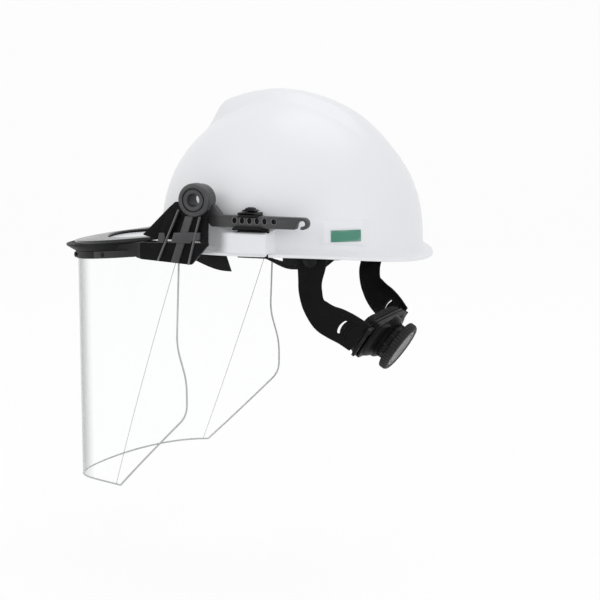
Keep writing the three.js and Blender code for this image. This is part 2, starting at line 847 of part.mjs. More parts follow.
function makeHeadband() {
  const rings = columnsRound((angle) => {
    const [outer, inner] = [bandPoint(angle, 0, bandTopZ), bandPoint(angle, bandThickness, bandTopZ)];
    const low = bandLowZ(outer.y);
    return [outer, inner, vec(inner.x, inner.y, low), vec(outer.x, outer.y, low)];
  }, bandColumns);
  const across = bandHalfWidth + cutOverrun;
  const windowOutline = [
    [windowFrontY, windowTopZ], [windowFrontY, bandLowZ(windowFrontY) + windowBorder],
    [(windowFrontY + windowRearY) / 2, bandLowZ((windowFrontY + windowRearY) / 2) + windowBorder],
    [windowRearY, bandLowZ(windowRearY) + windowBorder],
    [windowRearY - windowBorder, windowTopZ],
  ];
  let band = cut(loft(rings, true), outlineX(windowOutline, -across, across));
  Object.values(keyAngles).forEach((angle) => {
    band = cut(band, keyPeg(angle, keyPegRadius + fitGap, keyPlateOuter));
  });
  const studHole = barX(napeStudRadius + fitGap, -across, across, napeStudY, napeStudZ, smallSides);
  return cut(band, studHole);
}

function makeBrowPad() {
  const inset = bandThickness + fitGap;
  const endAngle = bandAngle(browPadEndY);
  const lowZ = (y) => lerp(browPadFrontZ, browPadEndZ, smooth(span(y, browPadDropY, browPadEndY)));
  const grid = (depth) => [0, 1 / 2, 1].map((share) => (
    Array.from({ length: padColumns + 1 }, (_, column) => {
      const angle = lerp(endAngle, -Math.PI - endAngle, column / padColumns);
      const low = lowZ(bandPoint(angle, inset, 0).y);
      return bandPoint(angle, inset + depth, lerp(low, browPadTopZ, share));
    })
  ));
  const [back, face] = [grid(0), grid(browPadThickness)];
  const squeeze = vec(1 - browPadCrown / bandHalfWidth, 1 - browPadCrown / bandFrontReach, 1);
  face[1].forEach((point) => point.multiply(squeeze));
  return sheetSolid(back, face);
}

// Nape arms: each station is a share of the way across, back and down from the headband to the
// ratchet, with shares of the change in width, of the lean towards the ratchet and of the toe-in
const armStationShares = [
  { across: 0, back: 0, down: 0, width: 0, lean: 0, toe: 1 },
  { across: 0, back: 0, down: 0.15, width: 0.1, lean: 0, toe: 1 },
  { across: 0.09, back: -0.08, down: 0.35, width: 1, lean: 0.04, toe: 0.5 },
  { across: 0.2, back: -0.11, down: 0.48, width: 1, lean: 0.12, toe: 0.2 },
  { across: 0.27, back: -0.06, down: 0.61, width: 1, lean: 0.35, toe: 0 },
  { across: 0.34, back: 0.08, down: 0.7, width: 1.4, lean: 0.65, toe: 0 },
  { across: 0.44, back: 0.27, down: 0.78, width: 1.8, lean: 0.9, toe: 0 },
  { across: 0.6, back: 0.5, down: 0.84, width: 2, lean: 1, toe: 0 },
  { across: 0.79, back: 0.75, down: 0.91, width: 2, lean: 1, toe: 0 },
  { across: 1, back: 1, down: 1, width: 2, lean: 1, toe: 0 },
];

// The ratchet's own axes: x to the wearer's right, y up along its face, z out to the rear
const ratchetRearward = vec(0, Math.cos(radians(ratchetLeanAngle)), -Math.sin(radians(ratchetLeanAngle)));
const ratchetUpward = vec(0, Math.sin(radians(ratchetLeanAngle)), Math.cos(radians(ratchetLeanAngle)));
const ratchetCentre = vec(0, ratchetY, ratchetZ);

const armTopX = bandPoint(bandAngle(napeStudY), 0, 0).x + armBandRoom;

function armPoint(station) {
  const end = ratchetCentre.clone().addScaledVector(ratchetUpward, armEndRise);
  end.addScaledVector(ratchetRearward, armEndBack);
  return vec(
    lerp(armTopX, armEndX, station.across),
    lerp(napeStudY, end.y, station.back),
    lerp(armTopZ, end.z, station.down),
  );
}

function armWidth(station) {
  const upper = lerp(armWidthTop, armWidthWaist, Math.min(station.width, 1));
  return lerp(upper, armWidthEnd, Math.max(station.width - 1, 0));
}

// The place of each station with the ways its strap runs along, across and outward
function armFrames() {
  const path = armStationShares.map(armPoint);
  return path.map((point, i) => {
    const station = armStationShares[i];
    const turn = radians(90 - ratchetLeanAngle) * station.lean;
    const toe = radians(armToeInAngle) * station.toe;
    const along = (path[i + 1] ?? point).clone().sub(path[i - 1] ?? point).normalize();
    const across = vec(-Math.sin(toe), Math.cos(turn) * Math.cos(toe), Math.sin(turn));
    across.addScaledVector(along, -across.dot(along)).normalize();
    return { point, along, across, out: along.clone().cross(across) };
  });
}

function makeNapeArm() {
  const frames = armFrames();
  const strap = loft(frames.map(({ point, across, out }, i) => (
    flatRing(point, across, out, armWidth(armStationShares[i]), armThickness)
  )));
  const [holeFrom, holeTo] = [armTopX - armWidthTop, armTopX + armWidthTop];
  const hole = barX(napeStudRadius + fitGap, holeFrom, holeTo, napeStudY, napeStudZ, smallSides);
  const station = armStationShares.findIndex((shares) => shares.across >= armSlotShare);
  const [{ point, along, across, out }, next] = frames.slice(station, station + 2);
  const slot = block(-armSlotWidth / 2, armSlotWidth / 2, -armSlotLength / 2, armSlotLength / 2,
    -armThickness - cutOverrun, armThickness + cutOverrun);
  slot.applyMatrix4(new THREE.Matrix4().makeBasis(along, across, out));
  const middle = point.clone().lerp(next.point, 1 / 2);
  return cut(strap, hole, slot.translate(middle.x, middle.y, middle.z));
}

function makeNapeStud() {
  const headX = bandPoint(bandAngle(napeStudY + napeStudTailRadius), bandThickness, 0).x - runGap * 2;
  const outX = armTopX + armThickness + runGap * 2;
  const shank = barX(napeStudRadius, headX - studHeadThickness, outX, napeStudY, napeStudZ, smallSides);
  const head = barX(napeStudHeadRadius, outX, outX + studHeadThickness, napeStudY, napeStudZ, smallSides);
  const tail = barX(napeStudTailRadius, headX - studHeadThickness, headX, napeStudY, napeStudZ, smallSides);
  return joined(shank, head, tail);
}

// Ratchet
const pitchRadius = (toothModule * pinionToothCount) / 2;
const toothPitch = Math.PI * toothModule;
const toothAddendum = toothModule * toothAddendumShare;
const toothDedendum = toothModule * toothDedendumShare;
const toothFlankShare = Math.tan(radians(toothPressureAngle));

// Half the width of a rack tooth at a height above the pitch line, thinned by the running gap
function rackToothHalf(height, gap) {
  return toothPitch / 4 - height * toothFlankShare - gap;
}

// Whether a point of the turning pinion's blank would run into the rack
function meetsRack(radius, angle, turn) {
  const x = radius * Math.sin(angle + turn);
  const height = pitchRadius - radius * Math.cos(angle + turn);
  const shift = x - pitchRadius * turn - toothPitch / 2;
  const beside = Math.abs(shift - toothPitch * Math.round(shift / toothPitch));
  return height < toothAddendum + fitGap / 2 && beside < rackToothHalf(height, -fitGap / 2);
}

// The pinion's outline is what the rolling rack teeth leave of a disc
function pinionRadius(angle) {
  const reach = pitchRadius + toothAddendum;
  const root = pitchRadius - toothModule - toothAddendum;
  let allowed = reach;
  for (let roll = -pinionRollCount; roll <= pinionRollCount; roll += 1) {
    const turn = (roll / pinionRollCount) * ((2 * Math.PI) / pinionToothCount);
    for (let step = 0; step <= pinionDepthCount; step += 1) {
      const radius = lerp(root, reach, step / pinionDepthCount);
      if (radius < allowed && meetsRack(radius, angle, turn)) {
        allowed = radius;
      }
    }
  }
  return allowed;
}

function makePinion() {
  const samples = pinionToothCount * toothSamples;
  const outline = Array.from({ length: samples }, (_, i) => {
    const angle = (i / samples) * Math.PI * 2;
    const radius = pinionRadius(angle % ((2 * Math.PI) / pinionToothCount));
    return [radius * Math.sin(angle), radius * Math.cos(angle)];
  });
  const gear = outlineZ(outline.reverse(), rackBack, rackFront);
  return joined(gear, barZ(shaftRadius, rackBack, shaftEnd, smallSides));
}

// The strap end that runs in the ratchet above the pinion, its teeth facing down
function makeRack() {
  const toothLine = pitchRadius + toothDedendum;
  const teethHalf = rackTravel + toothPitch + toothPitch / 2;
  const reach = housingHalfWidth + rackTravel + runGap;
  const outline = [[-reach, rackTop], [-reach, toothLine]];
  const count = Math.floor((2 * teethHalf) / toothPitch);
  for (let i = 0; i < count; i += 1) {
    const centre = (Math.floor(i - count / 2 + 1 / 2) + 1 / 2) * toothPitch;
    const [foot, crest] = [rackToothHalf(-toothDedendum, 0), rackToothHalf(toothAddendum, 0)];
    outline.push([centre - foot, toothLine], [centre - crest, pitchRadius - toothAddendum]);
    outline.push([centre + crest, pitchRadius - toothAddendum], [centre + foot, toothLine]);
  }
  outline.push([teethHalf + toothPitch, toothLine], [teethHalf + toothPitch, rackTop]);
  const bar = outlineZ(outline.reverse(), rackBack, rackFront);
  const endInner = armEndX + fitGap;
  const endHalf = rackEndHeight / 2;
  const end = block(-endInner, -reach + toothPitch, -endHalf, endHalf, rackBack, rackFront);
  return joined(bar, end);
}

function makeHousing() {
  const shape = new THREE.Shape();
  const round = housingCorner;
  const [w, h] = [housingHalfWidth, housingHalfHeight];
  shape.moveTo(-w + round, -h).lineTo(w - round, -h).quadraticCurveTo(w, -h, w, -h + round);
  shape.lineTo(w, h - round).quadraticCurveTo(w, h, w - round, h);
  shape.lineTo(-w + round, h).quadraticCurveTo(-w, h, -w, h - round);
  shape.lineTo(-w, -h + round).quadraticCurveTo(-w, -h, -w + round, -h);
  const body = outlineZ(shape, channelBack, housingFront);
  const channel = block(-w - cutOverrun, w + cutOverrun, -channelHalfHeight, channelHalfHeight,
    channelBack - cutOverrun, channelFront);
  const bore = barZ(shaftRadius + fitGap, 0, housingFront + cutOverrun, smallSides);
  return { housing: cut(body, channel, bore), plate: outlineZ(shape, backPlateBack, channelBack - fitGap) };
}

function makeNapePad() {
  const [w, h] = [housingHalfWidth - napePadInset, housingHalfHeight + napePadOverhang];
  const grid = (isFace) => napePadRowShares.map((up) => (
    napePadColumnShares.map((across) => {
      const fullness = (1 - napePadDroopShare * up ** 2) * (1 - napePadDroopShare * across ** 2);
      const back = backPlateBack - fitGap;
      return vec(across * w, up * h, isFace ? lerp(back, napePadBack, fullness) : back);
    })
  ));
  return sheetSolid(grid(false), grid(true));
}

function makeKnob() {
  const outline = Array.from({ length: knobLobeCount * 2 }, (_, i) => {
    const angle = (i / (knobLobeCount * 2)) * Math.PI * 2;
    const radius = knobRadius - (i % 2) * knobLobeDepth;
    return [radius * Math.cos(angle), radius * Math.sin(angle)];
  });
  const disc = outlineZ(outline, knobNeckTop, knobTop);
  const neck = barZ(knobNeckRadius, knobBottom, knobNeckTop + cutOverrun);
  const recess = barZ(knobRecessRadius, knobTop - knobRecessDepth, knobTop + cutOverrun);
  const bore = barZ(shaftRadius + fitGap, knobBottom - cutOverrun, shaftEnd + fitGap, smallSides);
  return cut(joined(disc, neck), recess, bore);
}

function makeKnobCap() {
  const low = knobTop - knobRecessDepth + fitGap;
  return barZ(knobRecessRadius - fitGap, low, low + knobCapThickness);
}

function makeClickSpring() {
  const ring = barZ(clickSpringOuter, housingFront + fitGap, housingFront + fitGap + clickSpringThickness);
  return cut(ring, barZ(clickSpringInner, housingFront, knobBottom, smallSides));
}

// Side arm, seen from the side: bar, neck, eye and hook
function hookShape() {
  const shape = new THREE.Shape();
  const [from, to] = [radians(hookFromAngle), radians(hookToAngle)];
  shape.absarc(hookY, hookZ, hookRadius, from, to, true);
  shape.absarc(hookY, hookZ, hookInnerRadius, to, from, false);
  return shape;
}

function ovalShape(y, z, halfLength, halfHeight) {
  const shape = new THREE.Shape();
  shape.absellipse(y, z, halfLength, halfHeight, 0, Math.PI * 2, false, 0);
  return shape;
}

function makeSideArm() {
  const bar = outlineX([
    [barFrontY, armBottomZ], [barRearY, armBottomZ], [hookY - hookRadius, hookZ],
    [hookY - hookInnerRadius, hookZ + hookInnerRadius], [hookY, hookZ + hookRadius],
    [barFrontY + neckRise, barTopZ],
    [pivotY + eyeRadius, pivotZ - eyeRadius / 3], [pivotY, pivotZ - eyeRadius / 2],
    [barFrontY - neckRise, barTopZ],
  ], armInnerX, armOuterX);
  const eye = barX(eyeRadius, armInnerX, eyeOuterX, pivotY, pivotZ);
  const hook = outlineX(hookShape(), armInnerX, armOuterX);
  const bore = barX(bushingRadius + fitGap, armInnerX - cutOverrun, eyeOuterX + cutOverrun, pivotY, pivotZ);
  const grooveEnd = notchFirstY + notchPitch * notchCount;
  const groove = block(armInnerX - cutOverrun, armInnerX + grooveDepth, notchFirstY - notchPitch, grooveEnd,
    notchZ - grooveHalfHeight, notchZ + grooveHalfHeight);
  const tools = [bore, groove];
  for (let i = 0; i < notchCount; i += 1) {
    const notch = ovalShape(notchFirstY + notchPitch * i, notchZ, notchHalfLength, notchHalfHeight);
    tools.push(outlineX(notch, armOuterX - notchDepth, armOuterX + cutOverrun));
  }
  const [throughFrom, throughTo] = [armInnerX - cutOverrun, armOuterX + cutOverrun];
  tools.push(barX(armHoleRadius, throughFrom, throughTo, armHoleY, notchZ, smallSides));
  return cut(joined(bar, eye, hook), ...tools);
}

function makeAdapter() {
  const backX = adapterInnerX;
  const lipX = armOuterX + runGap + adapterLip;
  const topZ = barTopZ + runGap;
  const lowZ = armBottomZ - runGap;
  const roofZ = topZ + adapterWall;
  const floorZ = lowZ - adapterWall;
  const plate = block(backX, backX + adapterPlate, adapterFrontY, adapterRearY, floorZ, roofZ);
  const roof = block(backX, lipX, adapterFrontY, adapterRearY, topZ, roofZ);
  const roofLip = block(lipX - adapterLip, lipX, adapterFrontY, adapterRearY, topZ - adapterLipReach, roofZ);
  const wing = block(backX, lipX, wingFrontY, wingRearY, floorZ, lowZ);
  const wingLip = block(lipX - adapterLip, lipX, wingFrontY, wingRearY, floorZ, lowZ + adapterLipReach);
  const tongue = block(slotInnerX + fitGap, slotOuterX - fitGap, slotFrontY + fitGap, slotRearY - fitGap,
    tongueBottomZ, lowZ - adapterWall / 2);
  const window = block(backX - cutOverrun, backX + adapterPlate + cutOverrun,
    latchCentreY - latchHalfWidth - fitGap, latchCentreY + latchHalfWidth + fitGap,
    latchLegBottomZ - runGap, roofZ + cutOverrun);
  const pinSlot = latchPin(latchPinRadius + fitGap, latchHalfWidth + latchPinRadius * 2);
  return cut(joined(plate, roof, roofLip, wing, wingLip, tongue), window, pinSlot);
}

// The pin that a latch rocks on
const latchPinX = adapterInnerX + adapterPlate / 2;
const latchAxisZ = barTopZ + runGap + adapterWall - latchPinRadius;

function latchPin(radius, halfLength) {
  const pin = new THREE.CylinderGeometry(radius, radius, halfLength * 2, smallSides);
  return pin.translate(latchPinX, latchCentreY, latchAxisZ);
}

function makeLatch() {
  const legX = adapterInnerX + fitGap;
  const legOuterX = adapterInnerX + adapterPlate - fitGap;
  const [y0, y1] = [latchCentreY - latchHalfWidth, latchCentreY + latchHalfWidth];
  const padLowZ = barTopZ + runGap + adapterWall + latchPressGap;
  const padTop = padLowZ + latchRise;
  const leg = block(legX, legOuterX, y0, y1, latchLegBottomZ, padTop);
  const pad = block(legX, latchOuterX, latchPadFrontY, latchPadRearY, padLowZ, padTop);
  const knob = block(legX, latchOuterX - latchRise, latchCentreY - latchKnobHalfWidth,
    latchCentreY + latchKnobHalfWidth, padTop - latchRise / 2, padLowZ + latchKnobRise);
  const toothHalf = grooveHalfHeight - runGap;
  const tooth = block(legX, armInnerX + latchToothReach, latchCentreY - latchHalfWidth / 2,
    latchCentreY + latchHalfWidth / 2, notchZ - toothHalf, notchZ + toothHalf);
  const pin = latchPin(latchPinRadius, latchHalfWidth + latchPinRadius * 2 - fitGap);
  return joined(leg, pad, knob, tooth, pin);
}

// Pivot
const washerX = eyeOuterX + fitGap;
const hubInnerX = washerX + washerThickness + fitGap;

function makeBushing() {
  const backX = armInnerX - fitGap - bushingFlangeThickness / 2;
  const faceX = hubOuterX - hubCounterboreDepth + fitGap;
  const tube = barX(bushingRadius, backX, faceX + bushingFlangeThickness, pivotY, pivotZ);
  const flange = barX(bushingFlange, faceX, faceX + bushingFlangeThickness, pivotY, pivotZ);
  const backFlange = barX(bushingFlange, backX, backX + bushingFlangeThickness / 2, pivotY, pivotZ);
  const bore = barX(bushingBore, backX - cutOverrun, hubOuterX + cutOverrun, pivotY, pivotZ);
  return cut(joined(tube, flange, backFlange), bore);
}

function makeWasher() {
  const disc = barX(hubCounterbore + fitGap, washerX, washerX + washerThickness, pivotY, pivotZ);
  return cut(disc, barX(bushingRadius + fitGap, washerX - cutOverrun, hubOuterX, pivotY, pivotZ));
}

// Shield frame
function railTopZ(y) {
  return railLevelZ + railSlopeShare * (Math.min(y, plateFrontY) - railLevelY);
}

// A curve in plan: straight along the sides from endY, then half an ellipse round the front
function frontCurve(offset, endY, columns) {
  const halfWidth = shieldHalfWidth + offset;
  const reach = shieldReach + offset;
  const points = [];
  const place = (turn) => {
    const point = vec(halfWidth * Math.cos(turn), shieldCentreY - reach * Math.sin(turn), 0);
    const normal = vec(Math.cos(turn) / halfWidth, -Math.sin(turn) / reach, 0).normalize();
    points.push({ point, normal, front: Math.sin(turn) ** 2 });
  };
  const start = endY < shieldCentreY ? Math.asin((shieldCentreY - endY) / reach) : 0;
  if (endY > shieldCentreY) {
    points.push({ point: vec(halfWidth, endY, 0), normal: vec(1, 0, 0), front: 0 });
  }
  for (let i = 0; i <= columns; i += 1) {
    place(lerp(start, Math.PI - start, i / columns));
  }
  if (endY > shieldCentreY) {
    points.push({ point: vec(-halfWidth, endY, 0), normal: vec(-1, 0, 0), front: 0 });
  }
  return points;
}

function sweptRail(curve, section) {
  return loft(curve.map((stop) => section(stop).map(([out, up]) => (
    stop.point.clone().addScaledVector(stop.normal, out).setZ(railTopZ(stop.point.y) + up)
  ))));
}

const railOffset = shieldThickness / 2 + fitGap;

function makeRail() {
  const curve = frontCurve(railOffset, railEndY, railColumns);
  const rail = sweptRail(curve, ({ front }) => {
    const lip = railWall + lerp(lipReachSide, lipReach, smooth(span(front, lipStartShare, lipFullShare)));
    return [
      [0, -railHeight], [railWaist, -railHeight], [railWaist, -railLedge], [railWall, -railLedge],
      [lip, -lipDrop], [lip, lipThickness - lipDrop], [railWall, -lipRoot], [railWall, 0], [0, 0],
    ];
  });
  const sidePlate = outlineX(sidePlateOutline(), plateInnerX, plateInnerX + plateThickness);
  const shelf = block(shieldHalfWidth + railOffset + railWall / 2, plateInnerX + plateThickness / 2,
    plateFrontY, railEndY, shelfTopZ - shelfThickness, shelfTopZ);
  const holes = studHoles();
  return cut(joined(rail, sidePlate, mirrored(sidePlate), shelf, mirrored(shelf)), ...holes);
}

function sidePlateOutline() {
  return [
    [plateFrontY, railTopZ(plateFrontY)], [plateFrontY, plateFrontBottomZ], [plateToeY, plateToeZ],
    [plateRearY, plateRearTopZ - plateThickness / 2], [plateRearY, plateRearTopZ],
  ];
}

// The bracket's legs, from the front one to the rear one
const legs = [
  { topY: legTopY, footY: legFootY, width: legWidth, footZ: legFootZ },
  { topY: middleLegTopY, footY: middleLegFootY, width: middleLegWidth, footZ: middleLegFootZ },
  { topY: rearLegTopY, footY: rearLegFootY, width: rearLegWidth, footZ: rearLegFootZ },
];

// The bracket's web with its fin, and its three slanted legs down the side plate
function makeBracket() {
  const webX = plateInnerX + plateThickness / 4;
  const web = outlineX([
    [webFrontY, webFrontZ], [webDipY, webDipZ], [webHeelY, webSillZ], [webRearY, webSillZ],
    [webRearY, webRearTopZ], [pivotY + hubRadius / 2, pivotZ],
    [pivotY - hubRadius / 2, pivotZ + hubRadius / 4], [webShoulderY, webShoulderZ],
  ], webX, webX + webThickness + fitGap);
  const hub = barX(hubRadius, hubInnerX, hubOuterX, pivotY, pivotZ);
  const legX = plateInnerX + plateThickness + fitGap;
  const legSolids = legs.map(({ topY, footY, width, footZ }) => outlineX([
    [topY - width / 2, pivotZ - hubRadius / 2], [footY - width / 2, footZ], [footY + width / 2, footZ],
    [topY + width / 2, pivotZ - hubRadius / 2],
  ], legX, legX + legThickness));
  const collar = block(webX, legX + legThickness / 2, webHeelY, webRearY, webSillZ, webSillZ + legThickness);
  const bore = barX(bushingRadius + fitGap, hubInnerX - cutOverrun, hubOuterX + cutOverrun, pivotY, pivotZ);
  const sink = barX(hubCounterbore, hubOuterX - hubCounterboreDepth, hubOuterX + cutOverrun, pivotY, pivotZ);
  return cut(joined(web, hub, collar, ...legSolids), bore, sink);
}

// Shield
// The rear edge: [height, Y], from the top corner down to the bottom corner, with its lower turn rounded
const shieldEdge = [
  [shieldTopZ, shieldEdgeTopY], [shieldKinkZ, shieldEdgeKinkY], [shieldBulgeZ, shieldEdgeBulgeY],
  [shieldTurnZ + shieldTurnRound, shieldEdgeBulgeY], [shieldTurnZ, shieldEdgeBulgeY - shieldTurnRound / 4],
  [shieldTurnZ - shieldTurnRound * Math.SQRT1_2, shieldEdgeBulgeY - shieldTurnRound * Math.SQRT1_2],
  [shieldCornerZ, shieldCornerY],
];

// The stops of the rear edge, with each long run between two of them divided
function shieldLevels() {
  const levels = [shieldEdge[0]];
  shieldEdge.slice(1).forEach(([z, y], i) => {
    const [z0, y0] = shieldEdge[i];
    const parts = Math.ceil((z0 - z) / shieldRowHeight);
    for (let part = 1; part <= parts; part += 1) {
      levels.push([lerp(z0, z, part / parts), lerp(y0, y, part / parts)]);
    }
  });
  return levels;
}

function shieldGrid(offset) {
  const halfWidth = shieldHalfWidth + offset;
  const reach = shieldReach + offset;
  const frontTopZ = railTopZ(shieldCentreY - shieldReach) - railHeight / 2;
  return shieldLevels().map(([sideZ, rearY]) => {
    const frontZ = lerp(frontTopZ, shieldFrontZ, span(sideZ, shieldTopZ, shieldCornerZ));
    const start = Math.asin(THREE.MathUtils.clamp((shieldCentreY - rearY) / reach, -1, 1));
    return Array.from({ length: shieldColumns + 1 }, (_, column) => {
      const turn = lerp(start, Math.PI - start, column / shieldColumns);
      const y = shieldCentreY - reach * Math.sin(turn);
      const x = y > shieldCentreY ? Math.sign(Math.cos(turn)) * halfWidth : halfWidth * Math.cos(turn);
      const front = span(y, rearY, shieldCentreY - reach);
      return vec(x, y, lerp(sideZ, frontZ, front ** 2));
    });
  });
}

function makeShield() {
  const holes = studHoles();
  return cut(sheetSolid(shieldGrid(shieldThickness / 2), shieldGrid(-shieldThickness / 2)), ...holes);
}

function makeRetainer() {
  const curve = frontCurve(railOffset, retainerEndY, railColumns);
  const low = railWaist + fitGap;
  const strip = sweptRail(curve, () => [
    [low, -railHeight + fitGap], [low + retainerThickness, -railHeight + fitGap],
    [low + retainerThickness, -railLedge - fitGap], [low, -railLedge - fitGap],
  ]);
  return cut(strip, ...studHoles());
}

// Studs hold the shield and the retainer strip to the rail
function studPlaces() {
  return Array.from({ length: studCount }, (_, i) => {
    const turn = Math.PI * lerp(studFirstShare, 1 - studFirstShare, i / (studCount - 1));
    const halfWidth = shieldHalfWidth + railOffset;
    const reach = shieldReach + railOffset;
    const point = vec(halfWidth * Math.cos(turn), shieldCentreY - reach * Math.sin(turn), 0);
    point.z = railTopZ(point.y) - (railHeight + railLedge) / 2;
    const normal = vec(Math.cos(turn) / halfWidth, -Math.sin(turn) / reach, 0).normalize();
    return { point, normal };
  });
}

function studHoles() {
  const reach = railWall + shieldThickness + cutOverrun;
  return studPlaces().map((stop) => studBar(stop, studRadius + fitGap, -reach, reach));
}

function studBar({ point, normal }, radius, from, to) {
  const bar = new THREE.CylinderGeometry(radius, radius, to - from, smallSides);
  const turn = new THREE.Quaternion().setFromUnitVectors(vec(0, 1, 0), normal);
  bar.translate(0, (from + to) / 2, 0).applyQuaternion(turn);
  return bar.translate(point.x, point.y, point.z);
}

function makeStud(stop) {
  const inner = -shieldThickness - fitGap - runGap;
  const outer = railWaist + fitGap * 2 + retainerThickness;
  const shank = studBar(stop, studRadius, inner - studHeadThickness, outer + studHeadThickness);
  const head = studBar(stop, studHead, outer, outer + studHeadThickness);
  const tail = studBar(stop, studTail, inner - studHeadThickness, inner);
  return joined(shank, head, tail);
}

// The soft guard that closes the gap between the rail and the peak's top
function makeGuard() {
  const curve = frontCurve(railOffset + railWall, guardEndY, railColumns);
  const grid = (lift) => [0, 1 / 2, 1].map((share) => curve.map(({ point }) => {
    const angle = Math.atan2(point.y, point.x);
    const inner = rimRadius(angle) - guardOverlap;
    const outerZ = railTopZ(point.y) + runGap + railSlopeShare * railWall;
    const innerX = inner * Math.cos(angle);
    const innerY = inner * Math.sin(angle);
    const innerZ = Math.max(brimLevel(innerX, innerY) + rimEdge + guardRise, railTopZ(innerY) + guardRise);
    return vec(point.x, point.y, outerZ + lift).lerp(vec(innerX, innerY, innerZ + lift), share);
  }));
  return sheetSolid(grid(guardThickness), grid(0));
}

// Assembly
function buildShell() {
  add('shell', 'shell', makeShell());
  addPair('reflective_patch', 'reflective', makePatch());
}

function buildSuspension() {
  Object.entries(keyAngles).forEach(([name, angle]) => {
    add(`suspension_key_${name}`, 'frame', makeKey(angle));
  });
  const drop = strapThickness + runGap + fitGap;
  add('crown_strap_left_to_right', 'webbing', makeStrap(keyAngles.front_left, keyAngles.rear_right, 0));
  add('crown_strap_right_to_left', 'webbing', makeStrap(keyAngles.front_right, keyAngles.rear_left, drop));
  add('headband', 'frame', makeHeadband());
  add('brow_pad', 'foam', makeBrowPad());
  addPair('nape_stud', 'frame', makeNapeStud());
}

function buildRatchet() {
  addPair('nape_arm', 'frame', makeNapeArm());
  const frame = new THREE.Group();
  const turn = new THREE.Matrix4().makeBasis(vec(-1, 0, 0), ratchetUpward, ratchetRearward);
  frame.quaternion.setFromRotationMatrix(turn);
  frame.position.copy(ratchetCentre);
  group.add(frame);
  const { housing, plate } = makeHousing();
  add('ratchet_housing', 'frame', housing, frame);
  add('ratchet_back_plate', 'frame', plate, frame);
  add('nape_pad', 'foam', makeNapePad(), frame);
  add('rack_strap_left', 'frame', makeRack(), frame);
  add('rack_strap_right', 'frame', makeRack().rotateZ(Math.PI), frame);
  add('drive_pinion', 'frame', makePinion(), frame);
  add('click_spring', 'steel', makeClickSpring(), frame);
  add('ratchet_knob', 'frame', makeKnob(), frame);
  add('knob_cap', 'frame', makeKnobCap(), frame);
}

function buildArms() {
  addPair('slot_adapter', 'frame', makeAdapter());
  addPair('adjuster_latch', 'frame', makeLatch());
  addPair('side_arm', 'frame', makeSideArm());
  addPair('pivot_bushing', 'frame', makeBushing());
  addPair('friction_washer', 'rubber', makeWasher());
}

function buildShieldFrame() {
  add('frame_rail', 'frame', makeRail());
  addPair('pivot_bracket', 'frame', makeBracket());
  add('debris_guard', 'rubber', makeGuard());
  add('shield_retainer', 'frame', makeRetainer());
  add('face_shield', 'shield', makeShield());
  studPlaces().forEach((stop, i) => add(`shield_stud_${i + 1}`, 'frame', makeStud(stop)));
}

buildShell();
buildSuspension();
buildRatchet();
buildArms();
buildShieldFrame();

export default group;
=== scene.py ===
"""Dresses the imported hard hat: moulded shell, clear shield, slotted arms, webbing, pads and ratchet.

Sizes in this file are in millimetres unless they are a property, which is in metres. +X is the
wearer's left, -Y the front and +Z up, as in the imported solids.
"""

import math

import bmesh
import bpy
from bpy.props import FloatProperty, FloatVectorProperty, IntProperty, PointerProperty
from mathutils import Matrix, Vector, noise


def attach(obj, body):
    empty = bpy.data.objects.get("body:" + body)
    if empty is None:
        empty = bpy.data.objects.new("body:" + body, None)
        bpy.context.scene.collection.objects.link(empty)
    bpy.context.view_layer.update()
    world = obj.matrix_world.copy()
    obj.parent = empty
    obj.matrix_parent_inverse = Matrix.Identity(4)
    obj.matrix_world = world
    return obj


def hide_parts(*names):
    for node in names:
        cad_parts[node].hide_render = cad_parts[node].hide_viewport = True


bl_info = {
    "name": "Hard Hat",
    "version": (1, 0, 0),
    "blender": (4, 5, 0),
    "location": "3D View > Sidebar > Hard Hat",
    "description": "Builds a hard hat with a tilting face shield round its packed solids",
    "category": "Object",
}

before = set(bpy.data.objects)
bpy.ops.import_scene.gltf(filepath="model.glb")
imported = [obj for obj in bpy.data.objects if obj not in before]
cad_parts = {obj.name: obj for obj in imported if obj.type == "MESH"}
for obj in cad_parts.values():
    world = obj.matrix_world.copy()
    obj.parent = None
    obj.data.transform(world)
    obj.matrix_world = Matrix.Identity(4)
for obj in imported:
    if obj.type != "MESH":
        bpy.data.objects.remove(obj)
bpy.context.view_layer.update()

MM = 0.001

# Clearances that the pieces share
FIT_GAP = 0.3
RUN_GAP = 0.6
CUT_OVERRUN = 3.0
WELD = 0.002

# Shell: dome, ridge, rim and peak
DOME_HALF_WIDTH = 98.0
DOME_FRONT = 103.2
DOME_REAR = 113.8
DOME_HEIGHT = 122.5
DOME_PLAN_POWER = 2.1
DOME_SIDE_POWER = 2.518
DOME_TOP_POWER = 1.567
RIDGE_TOP_HALF, RIDGE_FOOT_HALF = 9.0, 25.0
RIDGE_FRONT_Y, RIDGE_FULL_Y, RIDGE_LEVEL_Y = -68.0, -44.0, 0.0
RIDGE_FADE_Y, RIDGE_END_Y = 50.0, 104.0
RIDGE_FRONT_HEIGHT = 11.0
RIM_FLARE = 8.5
RIM_FILLET = 6.0
RIM_RISE = 7.5
RIM_EDGE = 2.6
RIM_EDGE_ROUND = 1.2
RIM_DIP_Y = 20.0
REAR_RIM_DIP = 8.5
RIM_DIP_POWER = 2.6
PEAK_CENTRE_Y = -45.0
PEAK_HALF_WIDTH = 94.0
PEAK_REACH = 120.0
PEAK_DROP = 6.5
PEAK_CROWN = 4.0
RIM_BLEND_POWER = 24

